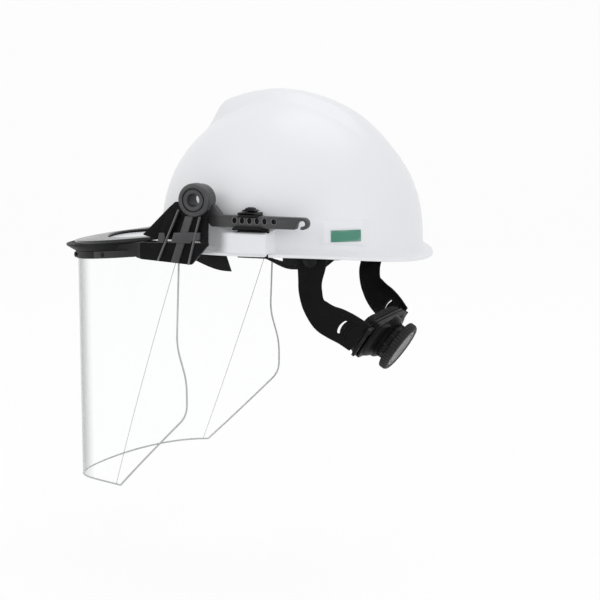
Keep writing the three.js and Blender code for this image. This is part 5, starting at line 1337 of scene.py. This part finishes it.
# Pivots
def make_pivots():
    x_back = SIDE_ARM_X[0] - FIT_GAP - 1.1
    face = HUB_X[1] - HUB_SINK_DEPTH + FIT_GAP
    top = face + 2.2
    profile = [
        (BUSHING_INNER, x_back), (BUSHING_FLANGE - 0.3, x_back), (BUSHING_FLANGE, x_back + 0.3), (BUSHING_FLANGE, x_back + 1.1),
        (BUSHING, x_back + 1.1), (BUSHING, face), (BUSHING_FLANGE, face), (BUSHING_FLANGE, top - 0.5), (BUSHING_FLANGE - 0.5, top),
        (BUSHING_BORE + 2.0, top), (BUSHING_BORE + 0.9, top - 0.4), (BUSHING_BORE, top - 2.4),
        (BUSHING_BORE, face - 2.0), (BUSHING_INNER, face - 3.0),
    ]
    paired("pivot_bushing", lathe(profile, PIVOT_FRAME, ROUND_STEPS), "slide_arms", satin_nylon())
    w0, w1 = WASHER_X
    washer = [(BUSHING + FIT_GAP, w0), (HUB_SINK + FIT_GAP, w0), (HUB_SINK + FIT_GAP, w1), (BUSHING + FIT_GAP, w1)]
    paired("friction_washer", lathe(washer, PIVOT_FRAME), "slide_arms", black_rubber())


# Shield frame
def rail_top(y):
    return RAIL_LEVEL_Z + RAIL_SLOPE * (min(y, PLATE_OUTLINE[0][0]) - RAIL_LEVEL_Y)


def bow_x(y, offset):
    half, reach = BOW_HALF_WIDTH + offset, BOW_REACH + offset
    return half * math.sqrt(1 - (min(y - BOW_CENTRE_Y, 0.0) / reach) ** 2)


def bow_stops(offset, end_y, columns=BOW_COLUMNS):
    """Stops along the bow in plan, with the way it faces and how far to the front each is."""
    half, reach = BOW_HALF_WIDTH + offset, BOW_REACH + offset
    stops = []
    start = math.asin((BOW_CENTRE_Y - end_y) / reach) if end_y < BOW_CENTRE_Y else 0.0
    for i in range(columns + 1):
        turn = lerp(start, math.pi - start, i / columns)
        place = Vector((half * math.cos(turn), BOW_CENTRE_Y - reach * math.sin(turn), 0))
        facing = Vector((math.cos(turn) / half, -math.sin(turn) / reach, 0)).normalized()
        stops.append((place, facing, math.sin(turn) ** 2))
    if end_y > BOW_CENTRE_Y:
        stops.insert(0, (Vector((half, end_y, 0)), Vector((1, 0, 0)), 0.0))
        stops.append((Vector((-half, end_y, 0)), Vector((-1, 0, 0)), 0.0))
    return stops


def swept(stops, section):
    rings = []
    for place, facing, front in stops:
        rings.append([Vector((*(place + facing * out).xy, rail_top(place.y) + up)) for out, up in section(front)])
    return loft(rings)


def rivet_places():
    places = []
    for i in range(RIVET_COUNT):
        turn = math.pi * lerp(RIVET_SHARE, 1 - RIVET_SHARE, i / (RIVET_COUNT - 1))
        half, reach = BOW_HALF_WIDTH + RAIL_OFFSET, BOW_REACH + RAIL_OFFSET
        place = Vector((half * math.cos(turn), BOW_CENTRE_Y - reach * math.sin(turn), 0))
        place.z = rail_top(place.y) - (RAIL_HEIGHT + RAIL_LEDGE) / 2
        facing = Vector((math.cos(turn) / half, -math.sin(turn) / reach, 0)).normalized()
        places.append(basis(facing.cross(Vector((0, 0, 1))), Vector((0, 0, 1)), facing, place))
    return places


def rail_fairing():
    """The wedge that carries the side plate's face forward into the rail."""
    front_y, low_z = PLATE_OUTLINE[1]
    rings = []
    for step in range(FAIRING_STEPS + 1):
        share = step / FAIRING_STEPS
        y = lerp(front_y + 0.6, FAIRING_END_Y, share)
        inner = bow_x(y, RAIL_OFFSET + RAIL_WALL / 2)
        outer = lerp(PLATE_X[1], bow_x(FAIRING_END_Y, RAIL_OFFSET + RAIL_WALL), share ** FAIRING_BOW)
        ledge = rail_top(y) - RAIL_LEDGE + FIT_GAP
        bottom = lerp(low_z, ledge, smooth(span(-y, -FAIRING_SLANT_Y[0], -FAIRING_SLANT_Y[1])))
        top = rail_top(y) - lerp(0.0, LIP_DROP, share)
        corners = ((inner, bottom), (outer, bottom), (outer, top), (inner, top))
        rings.append([Vector((u, y, v)) for u, v in rounded(corners, 0.5, 2)])
    return loft(rings)


def make_rail():
    def section(front):
        lip = RAIL_WALL + lerp(LIP_REACH_SIDE, LIP_REACH, smooth(span(front, *LIP_SHARES)))
        corners = [
            (0, -RAIL_HEIGHT), (RAIL_WAIST, -RAIL_HEIGHT), (RAIL_WAIST, -RAIL_LEDGE), (RAIL_WALL, -RAIL_LEDGE),
            (lip, -LIP_DROP), (lip, LIP_THICKNESS - LIP_DROP), (RAIL_WALL, -LIP_ROOT), (RAIL_WALL, 0), (0, 0),
        ]
        return rounded(corners, 0.35, 2)
    rail = swept(bow_stops(RAIL_OFFSET, RAIL_END_Y), section)
    side_plate = plate([rounded(PLATE_OUTLINE, 0.8)], *PLATE_X)
    shelf = block((BOW_HALF_WIDTH + RAIL_OFFSET + RAIL_WALL / 2, PLATE_X[0] + 1.0), (PLATE_OUTLINE[0][0], RAIL_END_Y), SHELF_Z)
    sides = [mirrored(part, side) for part in (side_plate, shelf, rail_fairing()) for _, side in SIDES]
    piece("frame_rail_moulding", together(rail, *sides), "visor_frame", dull_nylon(), ("frame_rail",))


def make_retainer():
    low = RAIL_WAIST + FIT_GAP

    def section_to(high):
        corners = [(low, FIT_GAP - RAIL_HEIGHT), (high, FIT_GAP - RAIL_HEIGHT), (high, -RAIL_LEDGE - FIT_GAP),
                   (low, -RAIL_LEDGE - FIT_GAP)]
        return lambda front: rounded(corners, 0.2, 2)
    stops = bow_stops(RAIL_OFFSET, RETAINER_END_Y)
    strip = swept(stops, section_to(low + RETAINER_THICKNESS / 2))
    inside = [stop for stop in stops if stop[0].y > RETAINER_PANEL_Y and stop[0].x > 0]
    panel = swept(inside, section_to(low + RETAINER_THICKNESS + RETAINER_PANEL_RISE))
    panels = together(*(mirrored(panel, side) for _, side in SIDES))
    piece("shield_retainer_moulding", strip, "visor_frame", dull_nylon(), ("shield_retainer",),
          extras=[(panels, polished_nylon())])
    inner = -SHEET - FIT_GAP - RUN_GAP
    outer = RAIL_WAIST + 2 * FIT_GAP + RETAINER_THICKNESS
    height = RIVET_HEAD_HEIGHT
    profile = [
        (0, inner - height), (RIVET_HEAD - 0.5, inner - height), (RIVET_HEAD - 0.2, inner), (RIVET_RADIUS, inner),
        (RIVET_RADIUS, outer), (RIVET_HEAD, outer), (RIVET_HEAD, outer + height * 0.3), (RIVET_HEAD * 0.8, outer + height * 0.75),
        (RIVET_HEAD * 0.4, outer + height), (0, outer + height),
    ]
    for number, place in enumerate(rivet_places(), 1):
        rivet = lathe(profile, place, SMALL_STEPS)
        piece(f"shield_stud_{number}_turning", rivet, "visor_frame", black_nylon(),
              (f"shield_stud_{number}",))


def make_guard():
    rings = []
    for place, _, _ in bow_stops(RAIL_OFFSET + RAIL_WALL, GUARD_END_Y):
        angle = math.atan2(place.y, place.x)
        reach = rim_radius(angle) - GUARD_OVERLAP
        inner = ring_point(angle, reach, 0)
        inner.z = max(brim_level(inner.x, inner.y) + RIM_EDGE + GUARD_RISE, rail_top(inner.y) + GUARD_RISE)
        outer = Vector((place.x, place.y, rail_top(place.y) + RUN_GAP + RAIL_SLOPE * RAIL_WALL))
        up, ring = Vector((0, 0, 1)), []
        top = [outer.lerp(inner, share) + up * (GUARD_THICKNESS + 0.5 * math.sin(math.pi * share)) for share in (0.01, 0.25, 0.5, 0.75, 0.97)]
        seat = outer - up * GUARD_SEAT
        low = [seat.lerp(inner, share) for share in (0.99, 0.75, 0.5, 0.25, 0.01)]
        ring = top + [outer.lerp(inner, 1.0) + up * GUARD_THICKNESS * 0.6] + low + [outer + up * GUARD_THICKNESS * 0.4]
        rings.append(ring)
    piece("debris_guard_moulding", loft(rings), "visor_frame", polished_nylon(), ("debris_guard",))


def make_brackets():
    pivot_y, pivot_z = PIVOT
    back, face = PLATE_X[0] + 0.85, PLATE_X[0] + 3.75
    fin = plate([rounded([(-75.7, 15.0), (-65.3, 12.0), (-61.0, 13.4), (-50.0, 38.0), (-53.8, 36.0)], 0.6)], back, back + 1.9)
    web_outline = [
        (-61.3, 9.6), (-59.9, 17.4), (-53.7, 35.8), (-47.0, 41.5), (pivot_y, pivot_z), (-19.5, 36.2), (-19.9, 10.0), (-25.9, 10.0),
        (-25.9, 11.3), (-31.8, 12.0), (-31.8, 9.9), (-48.4, 9.9), (-48.4, 12.0), (-54.8, 12.2), (-54.8, 9.6),
    ]
    recesses = [
        [(-52.4, 14.6), (-47.6, 14.6), (-39.6, 29.6), (-43.2, 33.4)],
        [(-30.2, 15.6), (-25.4, 18.2), (-22.4, 29.0), (-26.2, 30.4)],
    ]
    web = plate([rounded(web_outline, 0.5)] + [rounded(loop, 0.6) for loop in recesses], back, face)
    floor = plate([rounded([(-54.5, 13.0), (-25.5, 13.0), (-21.5, 32.0), (-44.0, 34.0)], 0.5)], back + 0.2, face - 1.5)
    leg_x = (face - 0.2, PLATE_X[1] + FIT_GAP + 3.0)
    legs = [
        ([(-43.6, 36.0), (-42.5, 36.0), (-60.8, -4.5), (-61.9, -4.4)], leg_x),
        ([(-37.6, 31.0), (-30.6, 31.0), (-43.9, -5.7), (-50.4, -5.2)], (leg_x[0], leg_x[1] - 1.0)),
        ([(-25.9, 31.0), (-24.8, 31.0), (-34.8, -6.8), (-35.9, -6.6)], leg_x),
    ]
    ribs = [plate([rounded(loop, 0.4)], *x) for loop, x in legs]
    collars = [
        [(-59.9, 17.4), (-55.3, 17.4), (-54.6, 13.6), (-56.6, 9.4), (-61.4, 9.6)],
        [(-47.3, 17.8), (-37.0, 18.6), (-25.0, 18.6), (-25.4, 12.6), (-31.4, 12.2), (-33.0, 9.9), (-49.8, 9.9)],
    ]
    bands = [plate([rounded(loop, 0.6)], face - 0.2, leg_x[1] - 0.4) for loop in collars]
    bore, sink = BUSHING + FIT_GAP, HUB_SINK
    x0, x1 = HUB_X
    hub = lathe([
        (bore, x0), (HUB_RADIUS - 1.0, x0), (HUB_RADIUS, x0 + 1.0), (HUB_RADIUS, x1 - 2.4), (HUB_RADIUS - 0.5, x1 - 1.1),
        (HUB_RADIUS - 1.4, x1 - 0.25), (HUB_RADIUS - 2.2, x1), (sink + 0.7, x1), (sink, x1 - 0.6), (sink, x1 - HUB_SINK_DEPTH),
        (bore, x1 - HUB_SINK_DEPTH),
    ], PIVOT_FRAME, ROUND_STEPS * 2)
    hole = lathe([(0, back - CUT_OVERRUN), (bore, back - CUT_OVERRUN), (bore, x1), (0, x1)], PIVOT_FRAME)
    cleared = carved(together(web), hole)
    # The hub, wide rib and collars are lighter grey than the rest of this one moulding, and the thin ribs pale: painted
    # light where they face the lamps.
    painted_light_greys = together(hub, ribs[1], *bands)
    paired("pivot_bracket", together(fin, cleared, floor), "visor_frame", dull_nylon(),
           extras=[(painted_light_greys, satin_nylon()), (together(ribs[0], ribs[2]), painted_highlight_rims())])


def sheet_levels():
    """The shield's rear edge as many places, its corners rounded."""
    points = [Vector(stop) for stop in SHEET_EDGE]
    line = [points[0]]
    for before, corner, after in zip(points, points[1:], points[2:]):
        reach = min(SHEET_TURN_ROUND, (before - corner).length / 2, (after - corner).length / 2)
        start = corner + (before - corner).normalized() * reach
        line += bezier(start, corner, corner + (after - corner).normalized() * reach, 6)
    line.append(points[-1])
    levels = [line[0]]
    for a, b in zip(line, line[1:]):
        parts = max(1, math.ceil((a - b).length / 6))
        levels += [a.lerp(b, part / parts) for part in range(1, parts + 1)]
    return levels


def bead(line, radius, steps=8):
    """A round bead along a line of points."""
    rings = []
    for i, place in enumerate(line):
        along = (line[min(i + 1, len(line) - 1)] - line[max(i - 1, 0)]).normalized()
        across = along.orthogonal().normalized() if abs(along.x) > 0.9 else along.cross(Vector((1, 0, 0))).normalized()
        out = along.cross(across)
        turns = [2 * math.pi * k / steps for k in range(steps)]
        rings.append([place + (across * math.cos(t) + out * math.sin(t)) * radius for t in turns])
    return loft(rings)


def make_face_shield():
    half_sheet = bpy.context.scene.hat_sizes.sheet_thickness / MM / 2
    front_top = rail_top(BOW_CENTRE_Y - BOW_REACH) - RAIL_HEIGHT / 2

    def grid(offset):
        half, reach = BOW_HALF_WIDTH + offset, BOW_REACH + offset
        rows = []
        for side_z, rear_y in sheet_levels():
            front_z = lerp(front_top, SHEET_FRONT_Z, span(side_z, SHEET_EDGE[0][0], SHEET_CORNER_Z))
            start = math.asin(min(max((BOW_CENTRE_Y - rear_y) / reach, -1), 1))
            row = []
            for column in range(BOW_COLUMNS + 1):
                turn = lerp(start, math.pi - start, column / BOW_COLUMNS)
                y = BOW_CENTRE_Y - reach * math.sin(turn)
                x = math.copysign(half, math.cos(turn)) if y > BOW_CENTRE_Y else half * math.cos(turn)
                row.append(Vector((x, y, lerp(side_z, front_z, span(y, rear_y, BOW_CENTRE_Y - reach) ** 2))))
            rows.append(row)
        return rows
    middle = grid(0.0)
    # Beads along the cut edges and the crease carry the grey of painted shade.
    edges = [bead([row[end] for row in middle[1:]], SHEET_BEAD) for end in (0, -1)]
    edges.append(bead(middle[-1], SHEET_BEAD))
    line = []
    for step in range(25):
        z, y = (lerp(a, b, step / 24) for a, b in zip(*CREASE))
        line.append(Vector((bow_x(y, half_sheet), y, z)))
    crease_shade_line = bead(line, CREASE_HALF, 6)
    edges += [mirrored(crease_shade_line, side) for _, side in SIDES]
    piece("face_shield_sheet", sheet(grid(half_sheet), grid(-half_sheet)), "visor_frame", clear_sheet(),
          ("face_shield",), sharp=math.radians(50), extras=[(together(*edges), painted_edge_shade())])


def dress_kept_nodes():
    """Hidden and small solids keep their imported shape, with eased edges and their finish."""
    plain = ["suspension_key_front_left", "suspension_key_front_right", "suspension_key_rear_left", "suspension_key_rear_right",
             "nape_stud_left", "nape_stud_right", "rack_strap_left", "rack_strap_right", "drive_pinion"]
    finishes = {name: black_nylon() for name in plain}
    finishes["click_spring"] = spring_steel()
    for name, finish in finishes.items():
        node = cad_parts[name]
        node.data.materials.clear()
        node.data.materials.append(finish)
        eased = node.modifiers.new("eased edges", "BEVEL")
        eased.width = FINE_EDGE * MM
        eased.segments = 2
        eased.limit_method = "ANGLE"
        eased.angle_limit = math.radians(40)


# Stage
def area_lamp(name, place, target, size, power, colour):
    lamp = bpy.data.lights.new(name, "AREA")
    lamp.shape = "DISK"
    lamp.size = size
    lamp.energy = power
    lamp.color = colour
    holder = bpy.data.objects.new(name, lamp)
    holder.location = place
    holder.rotation_euler = (target - place).to_track_quat("-Z", "Y").to_euler()
    bpy.context.scene.collection.objects.link(holder)


def make_floor():
    reach, rise, bend = 3.0, 2.4, 0.8
    level = bpy.context.scene.hat_stage.floor_level
    profile = [(-reach, 0.0), (reach - bend, 0.0)]
    profile += [(reach - bend + bend * math.sin(t), bend * (1 - math.cos(t))) for t in [math.pi / 2 * i / 12 for i in range(1, 13)]]
    profile.append((reach, rise))
    azimuth = math.radians(bpy.context.scene.hat_stage.azimuth)
    away = Vector((-math.sin(azimuth), math.cos(azimuth), 0))
    side = Vector((away.y, -away.x, 0))
    points = [away * u + side * s + Vector((0, 0, level + v)) for u, v in profile for s in (-reach * 1.5, reach * 1.5)]
    faces = [(2 * i, 2 * i + 1, 2 * i + 3, 2 * i + 2) for i in range(len(profile) - 1)]
    mesh = bpy.data.meshes.new("studio_floor")
    mesh.from_pydata([tuple(point) for point in points], [], faces)
    mesh.shade_smooth()
    floor = bpy.data.objects.new("studio_floor", mesh)
    bpy.context.scene.collection.objects.link(floor)
    material, tree = new_material("studio_paper")
    paper = tree.node("ShaderNodeBsdfDiffuse", Color=(0.95, 0.95, 0.95, 1))
    glow = tree.node("ShaderNodeEmission", Color=(1, 1, 1, 1), Strength=1.0)
    path = tree.node("ShaderNodeLightPath").outputs
    seen = tree.math("MAXIMUM", path["Is Camera Ray"], tree.math("MAXIMUM", path["Is Glossy Ray"], path["Is Transmission Ray"]))
    mixed = tree.node("ShaderNodeMixShader", Fac=tree.math("MULTIPLY", seen, bpy.context.scene.hat_stage.paper_glow))
    tree.put(mixed.inputs[1], paper.outputs["BSDF"])
    tree.put(mixed.inputs[2], glow.outputs["Emission"])
    tree.node("ShaderNodeOutputMaterial", Surface=mixed.outputs["Shader"])
    mesh.materials.append(material)


def make_world():
    world = bpy.data.worlds.new("studio_world")
    bpy.context.scene.world = world
    world.use_nodes = True
    world.node_tree.nodes.clear()
    tree = Tree(world.node_tree)
    path = tree.node("ShaderNodeLightPath").outputs
    seen = tree.math("MAXIMUM", path["Is Camera Ray"], tree.math("MAXIMUM", path["Is Glossy Ray"], path["Is Transmission Ray"]))
    level = bpy.context.scene.hat_stage.world_level
    strength = tree.math("ADD", level, tree.math("MULTIPLY", seen, 1.0 - level))
    light = tree.node("ShaderNodeBackground", Color=(1, 1, 1, 1), Strength=strength)
    tree.node("ShaderNodeOutputWorld", Surface=light.outputs["Background"])


def make_camera():
    stage = bpy.context.scene.hat_stage
    azimuth, elevation = math.radians(stage.azimuth), math.radians(stage.elevation)
    back = Vector((math.sin(azimuth) * math.cos(elevation), -math.cos(azimuth) * math.cos(elevation), math.sin(elevation)))
    data = bpy.data.cameras.new("photo_camera")
    data.sensor_width = 36.0
    data.lens = stage.lens
    camera = bpy.data.objects.new("photo_camera", data)
    camera.location = Vector(stage.target) + back * stage.distance
    camera.rotation_euler = (-back).to_track_quat("-Z", "Y").to_euler()
    bpy.context.scene.collection.objects.link(camera)
    bpy.context.scene.camera = camera


def make_stage():
    bpy.context.scene.view_settings.view_transform = "Standard"
    make_world()
    make_floor()
    make_camera()
    stage = bpy.context.scene.hat_stage
    target = Vector(stage.target)
    area_lamp("key_lamp", Vector((1.6, -1.3, 1.5)), target, 2.4, stage.key_power, (1.0, 1.0, 1.0))
    area_lamp("fill_lamp", Vector((1.1, 2.1, 0.4)), target, 2.2, stage.fill_power, (0.98, 0.99, 1.0))
    area_lamp("top_lamp", Vector((-0.6, 0.2, 2.2)), target, 1.8, stage.top_power, (1.0, 1.0, 1.0))


# Settings, operators and panel
class HatSizes(bpy.types.PropertyGroup):
    shell_wall: FloatProperty(name="Shell wall", description="Thickness of the shell", default=0.0022, min=0.0005, unit="LENGTH")
    ridge_height: FloatProperty(name="Ridge height", description="Rise of the ridge over the crown", default=0.0045, min=0, unit="LENGTH")
    sheet_thickness: FloatProperty(name="Shield thickness", description="Thickness of the clear shield", default=0.0012, min=0.0003, unit="LENGTH")
    knob_radius: FloatProperty(name="Knob radius", description="Radius of the ratchet knob", default=0.022, min=0.018, unit="LENGTH")
    knob_ribs: IntProperty(name="Knob ribs", description="Grip ribs round the knob", default=48, min=8)


def colour_property(name, description, default):
    return FloatVectorProperty(name=name, description=description, default=default, min=0, max=1, size=3, subtype="COLOR")


class HatColours(bpy.types.PropertyGroup):
    shell: colour_property("Shell", "Colour of the moulded shell", (0.8, 0.808, 0.835))
    shell_worn: colour_property("Shell wear", "Colour of the shell's rubbed edges", (0.88, 0.88, 0.88))
    nylon: colour_property("Nylon", "Colour of the black frame parts", (0.005, 0.005, 0.0055))
    nylon_worn: colour_property("Nylon wear", "Colour of their rubbed edges", (0.035, 0.035, 0.037))
    satin: colour_property("Satin nylon", "Colour of the grey arms, hubs and strip", (0.026, 0.026, 0.028))
    # Satin wear is also the whole colour of the pale rims and thin ribs, as a painted highlight.
    satin_wear_and_highlight: colour_property("Satin wear", "Colour of their rubbed edges", (0.12, 0.12, 0.125))
    rubber: colour_property("Rubber", "Colour of the knob and washers", (0.008, 0.008, 0.0085))
    sticker: colour_property("Sticker", "Colour of the plain stickers", (0.02, 0.2, 0.125))
    steel: colour_property("Steel", "Colour of the click spring", (0.6, 0.6, 0.62))
    cloth: colour_property("Cloth", "Colour of webbing and pads", (0.006, 0.006, 0.007))
    # Painted light: the paler tone of the raised threads.
    thread_painted_light: colour_property("Thread", "Colour of the raised threads", (0.03, 0.03, 0.032))
    shield: colour_property("Shield", "Tint of the clear shield", (0.995, 0.998, 0.998))
    # Painted shade: the tint the shield takes towards its outline.
    shield_turn_shade: colour_property("Shield turn", "Tint where the shield turns away", (0.06, 0.062, 0.065))
    # Painted shade: the grey of the shield's edge and crease lines.
    shield_edge_shade: colour_property("Shield edge", "Colour of the shield's cut edge", (0.42, 0.43, 0.44))


class HatStage(bpy.types.PropertyGroup):
    azimuth: FloatProperty(name="Azimuth", description="Camera azimuth in degrees", default=111.0)
    elevation: FloatProperty(name="Elevation", description="Camera elevation in degrees", default=8.5)
    distance: FloatProperty(name="Distance", description="Camera distance from its target", default=1.302, unit="LENGTH")
    lens: FloatProperty(name="Lens", description="Focal length on a 36 mm sensor", default=93.54)
    target: FloatVectorProperty(name="Target", description="Point the camera looks at", default=(0.0, 0.012, -0.048), size=3, unit="LENGTH")
    floor_level: FloatProperty(name="Floor level", description="Height of the floor", default=-0.262, unit="LENGTH")
    paper_glow: FloatProperty(name="Paper glow", description="Share of plain white in the floor", default=0.92, min=0, max=1, subtype="FACTOR")
    world_level: FloatProperty(name="World level", description="Strength of the soft light all round", default=0.62, min=0)
    key_power: FloatProperty(name="Key lamp", description="Power of the key lamp", default=16.0, min=0, unit="POWER")
    fill_power: FloatProperty(name="Fill lamp", description="Power of the fill lamp", default=14.0, min=0, unit="POWER")
    top_power: FloatProperty(name="Top lamp", description="Power of the top lamp", default=12.0, min=0, unit="POWER")


def run_steps(operator, *steps):
    for step in steps:
        step()
    return {"FINISHED"}


class HAT_OT_shell(bpy.types.Operator):
    """Build the moulded shell with its pads, panels and key pockets"""
    bl_idname = "hat.shell"
    bl_label = "Shell"

    def execute(self, context):
        return run_steps(self, make_shell)


class HAT_OT_stickers(bpy.types.Operator):
    """Build the plain stickers on the rear panels"""
    bl_idname = "hat.stickers"
    bl_label = "Stickers"

    def execute(self, context):
        return run_steps(self, make_stickers)


class HAT_OT_suspension(bpy.types.Operator):
    """Build the crown straps, headband and brow pad"""
    bl_idname = "hat.suspension"
    bl_label = "Suspension"

    def execute(self, context):
        return run_steps(self, make_straps, make_headband, make_brow_pad)


class HAT_OT_nape(bpy.types.Operator):
    """Build the nape arms, ratchet case and nape pad"""
    bl_idname = "hat.nape"
    bl_label = "Nape assembly"

    def execute(self, context):
        return run_steps(self, make_nape_arms, make_housing, make_nape_pad)


class HAT_OT_knob(bpy.types.Operator):
    """Build the ribbed ratchet knob and its cap"""
    bl_idname = "hat.knob"
    bl_label = "Knob"

    def execute(self, context):
        return run_steps(self, make_knob)


class HAT_OT_side_arms(bpy.types.Operator):
    """Build the notched side arms"""
    bl_idname = "hat.side_arms"
    bl_label = "Side arms"

    def execute(self, context):
        return run_steps(self, make_side_arms)


class HAT_OT_adapters(bpy.types.Operator):
    """Build the slot adapters and their latches"""
    bl_idname = "hat.adapters"
    bl_label = "Adapters and latches"

    def execute(self, context):
        return run_steps(self, make_adapters, make_latches)


class HAT_OT_pivots(bpy.types.Operator):
    """Build the hollow pivot bushings and their washers"""
    bl_idname = "hat.pivots"
    bl_label = "Pivots"

    def execute(self, context):
        return run_steps(self, make_pivots)


class HAT_OT_shield_frame(bpy.types.Operator):
    """Build the rail, retainer, studs and guard"""
    bl_idname = "hat.shield_frame"
    bl_label = "Shield frame"

    def execute(self, context):
        return run_steps(self, make_rail, make_retainer, make_guard)


class HAT_OT_brackets(bpy.types.Operator):
    """Build the ribbed pivot brackets"""
    bl_idname = "hat.brackets"
    bl_label = "Brackets"

    def execute(self, context):
        return run_steps(self, make_brackets)


class HAT_OT_face_shield(bpy.types.Operator):
    """Build the clear face shield"""
    bl_idname = "hat.face_shield"
    bl_label = "Face shield"

    def execute(self, context):
        return run_steps(self, make_face_shield)


class HAT_OT_kept_nodes(bpy.types.Operator):
    """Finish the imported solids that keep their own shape"""
    bl_idname = "hat.kept_nodes"
    bl_label = "Kept solids"

    def execute(self, context):
        return run_steps(self, dress_kept_nodes)


class HAT_OT_stage(bpy.types.Operator):
    """Build the floor, lamps, world and camera"""
    bl_idname = "hat.stage"
    bl_label = "Stage"

    def execute(self, context):
        return run_steps(self, make_stage)


OPERATORS = (
    HAT_OT_stage, HAT_OT_shell, HAT_OT_stickers, HAT_OT_suspension, HAT_OT_nape, HAT_OT_knob, HAT_OT_side_arms,
    HAT_OT_adapters, HAT_OT_pivots, HAT_OT_shield_frame, HAT_OT_brackets, HAT_OT_face_shield, HAT_OT_kept_nodes,
)


class HAT_PT_panel(bpy.types.Panel):
    """Lists the hat's settings and the steps that build it"""
    bl_idname = "HAT_PT_panel"
    bl_label = "Hard Hat"
    bl_space_type = "VIEW_3D"
    bl_region_type = "UI"
    bl_category = "Hard Hat"

    def draw(self, context):
        layout = self.layout
        for settings in (context.scene.hat_sizes, context.scene.hat_colours, context.scene.hat_stage):
            for name in settings.__annotations__:
                layout.prop(settings, name)
        for operator in OPERATORS:
            layout.operator(operator.bl_idname)


CLASSES = (HatSizes, HatColours, HatStage, *OPERATORS, HAT_PT_panel)


def register():
    for made in CLASSES:
        bpy.utils.register_class(made)
    bpy.types.Scene.hat_sizes = PointerProperty(type=HatSizes)
    bpy.types.Scene.hat_colours = PointerProperty(type=HatColours)
    bpy.types.Scene.hat_stage = PointerProperty(type=HatStage)


def unregister():
    del bpy.types.Scene.hat_stage
    del bpy.types.Scene.hat_colours
    del bpy.types.Scene.hat_sizes
    for made in reversed(CLASSES):
        bpy.utils.unregister_class(made)


def main():
    register()
    for operator in OPERATORS:
        group, name = operator.bl_idname.split(".")
        getattr(getattr(bpy.ops, group), name)()


if __name__ == "__main__":
    main()
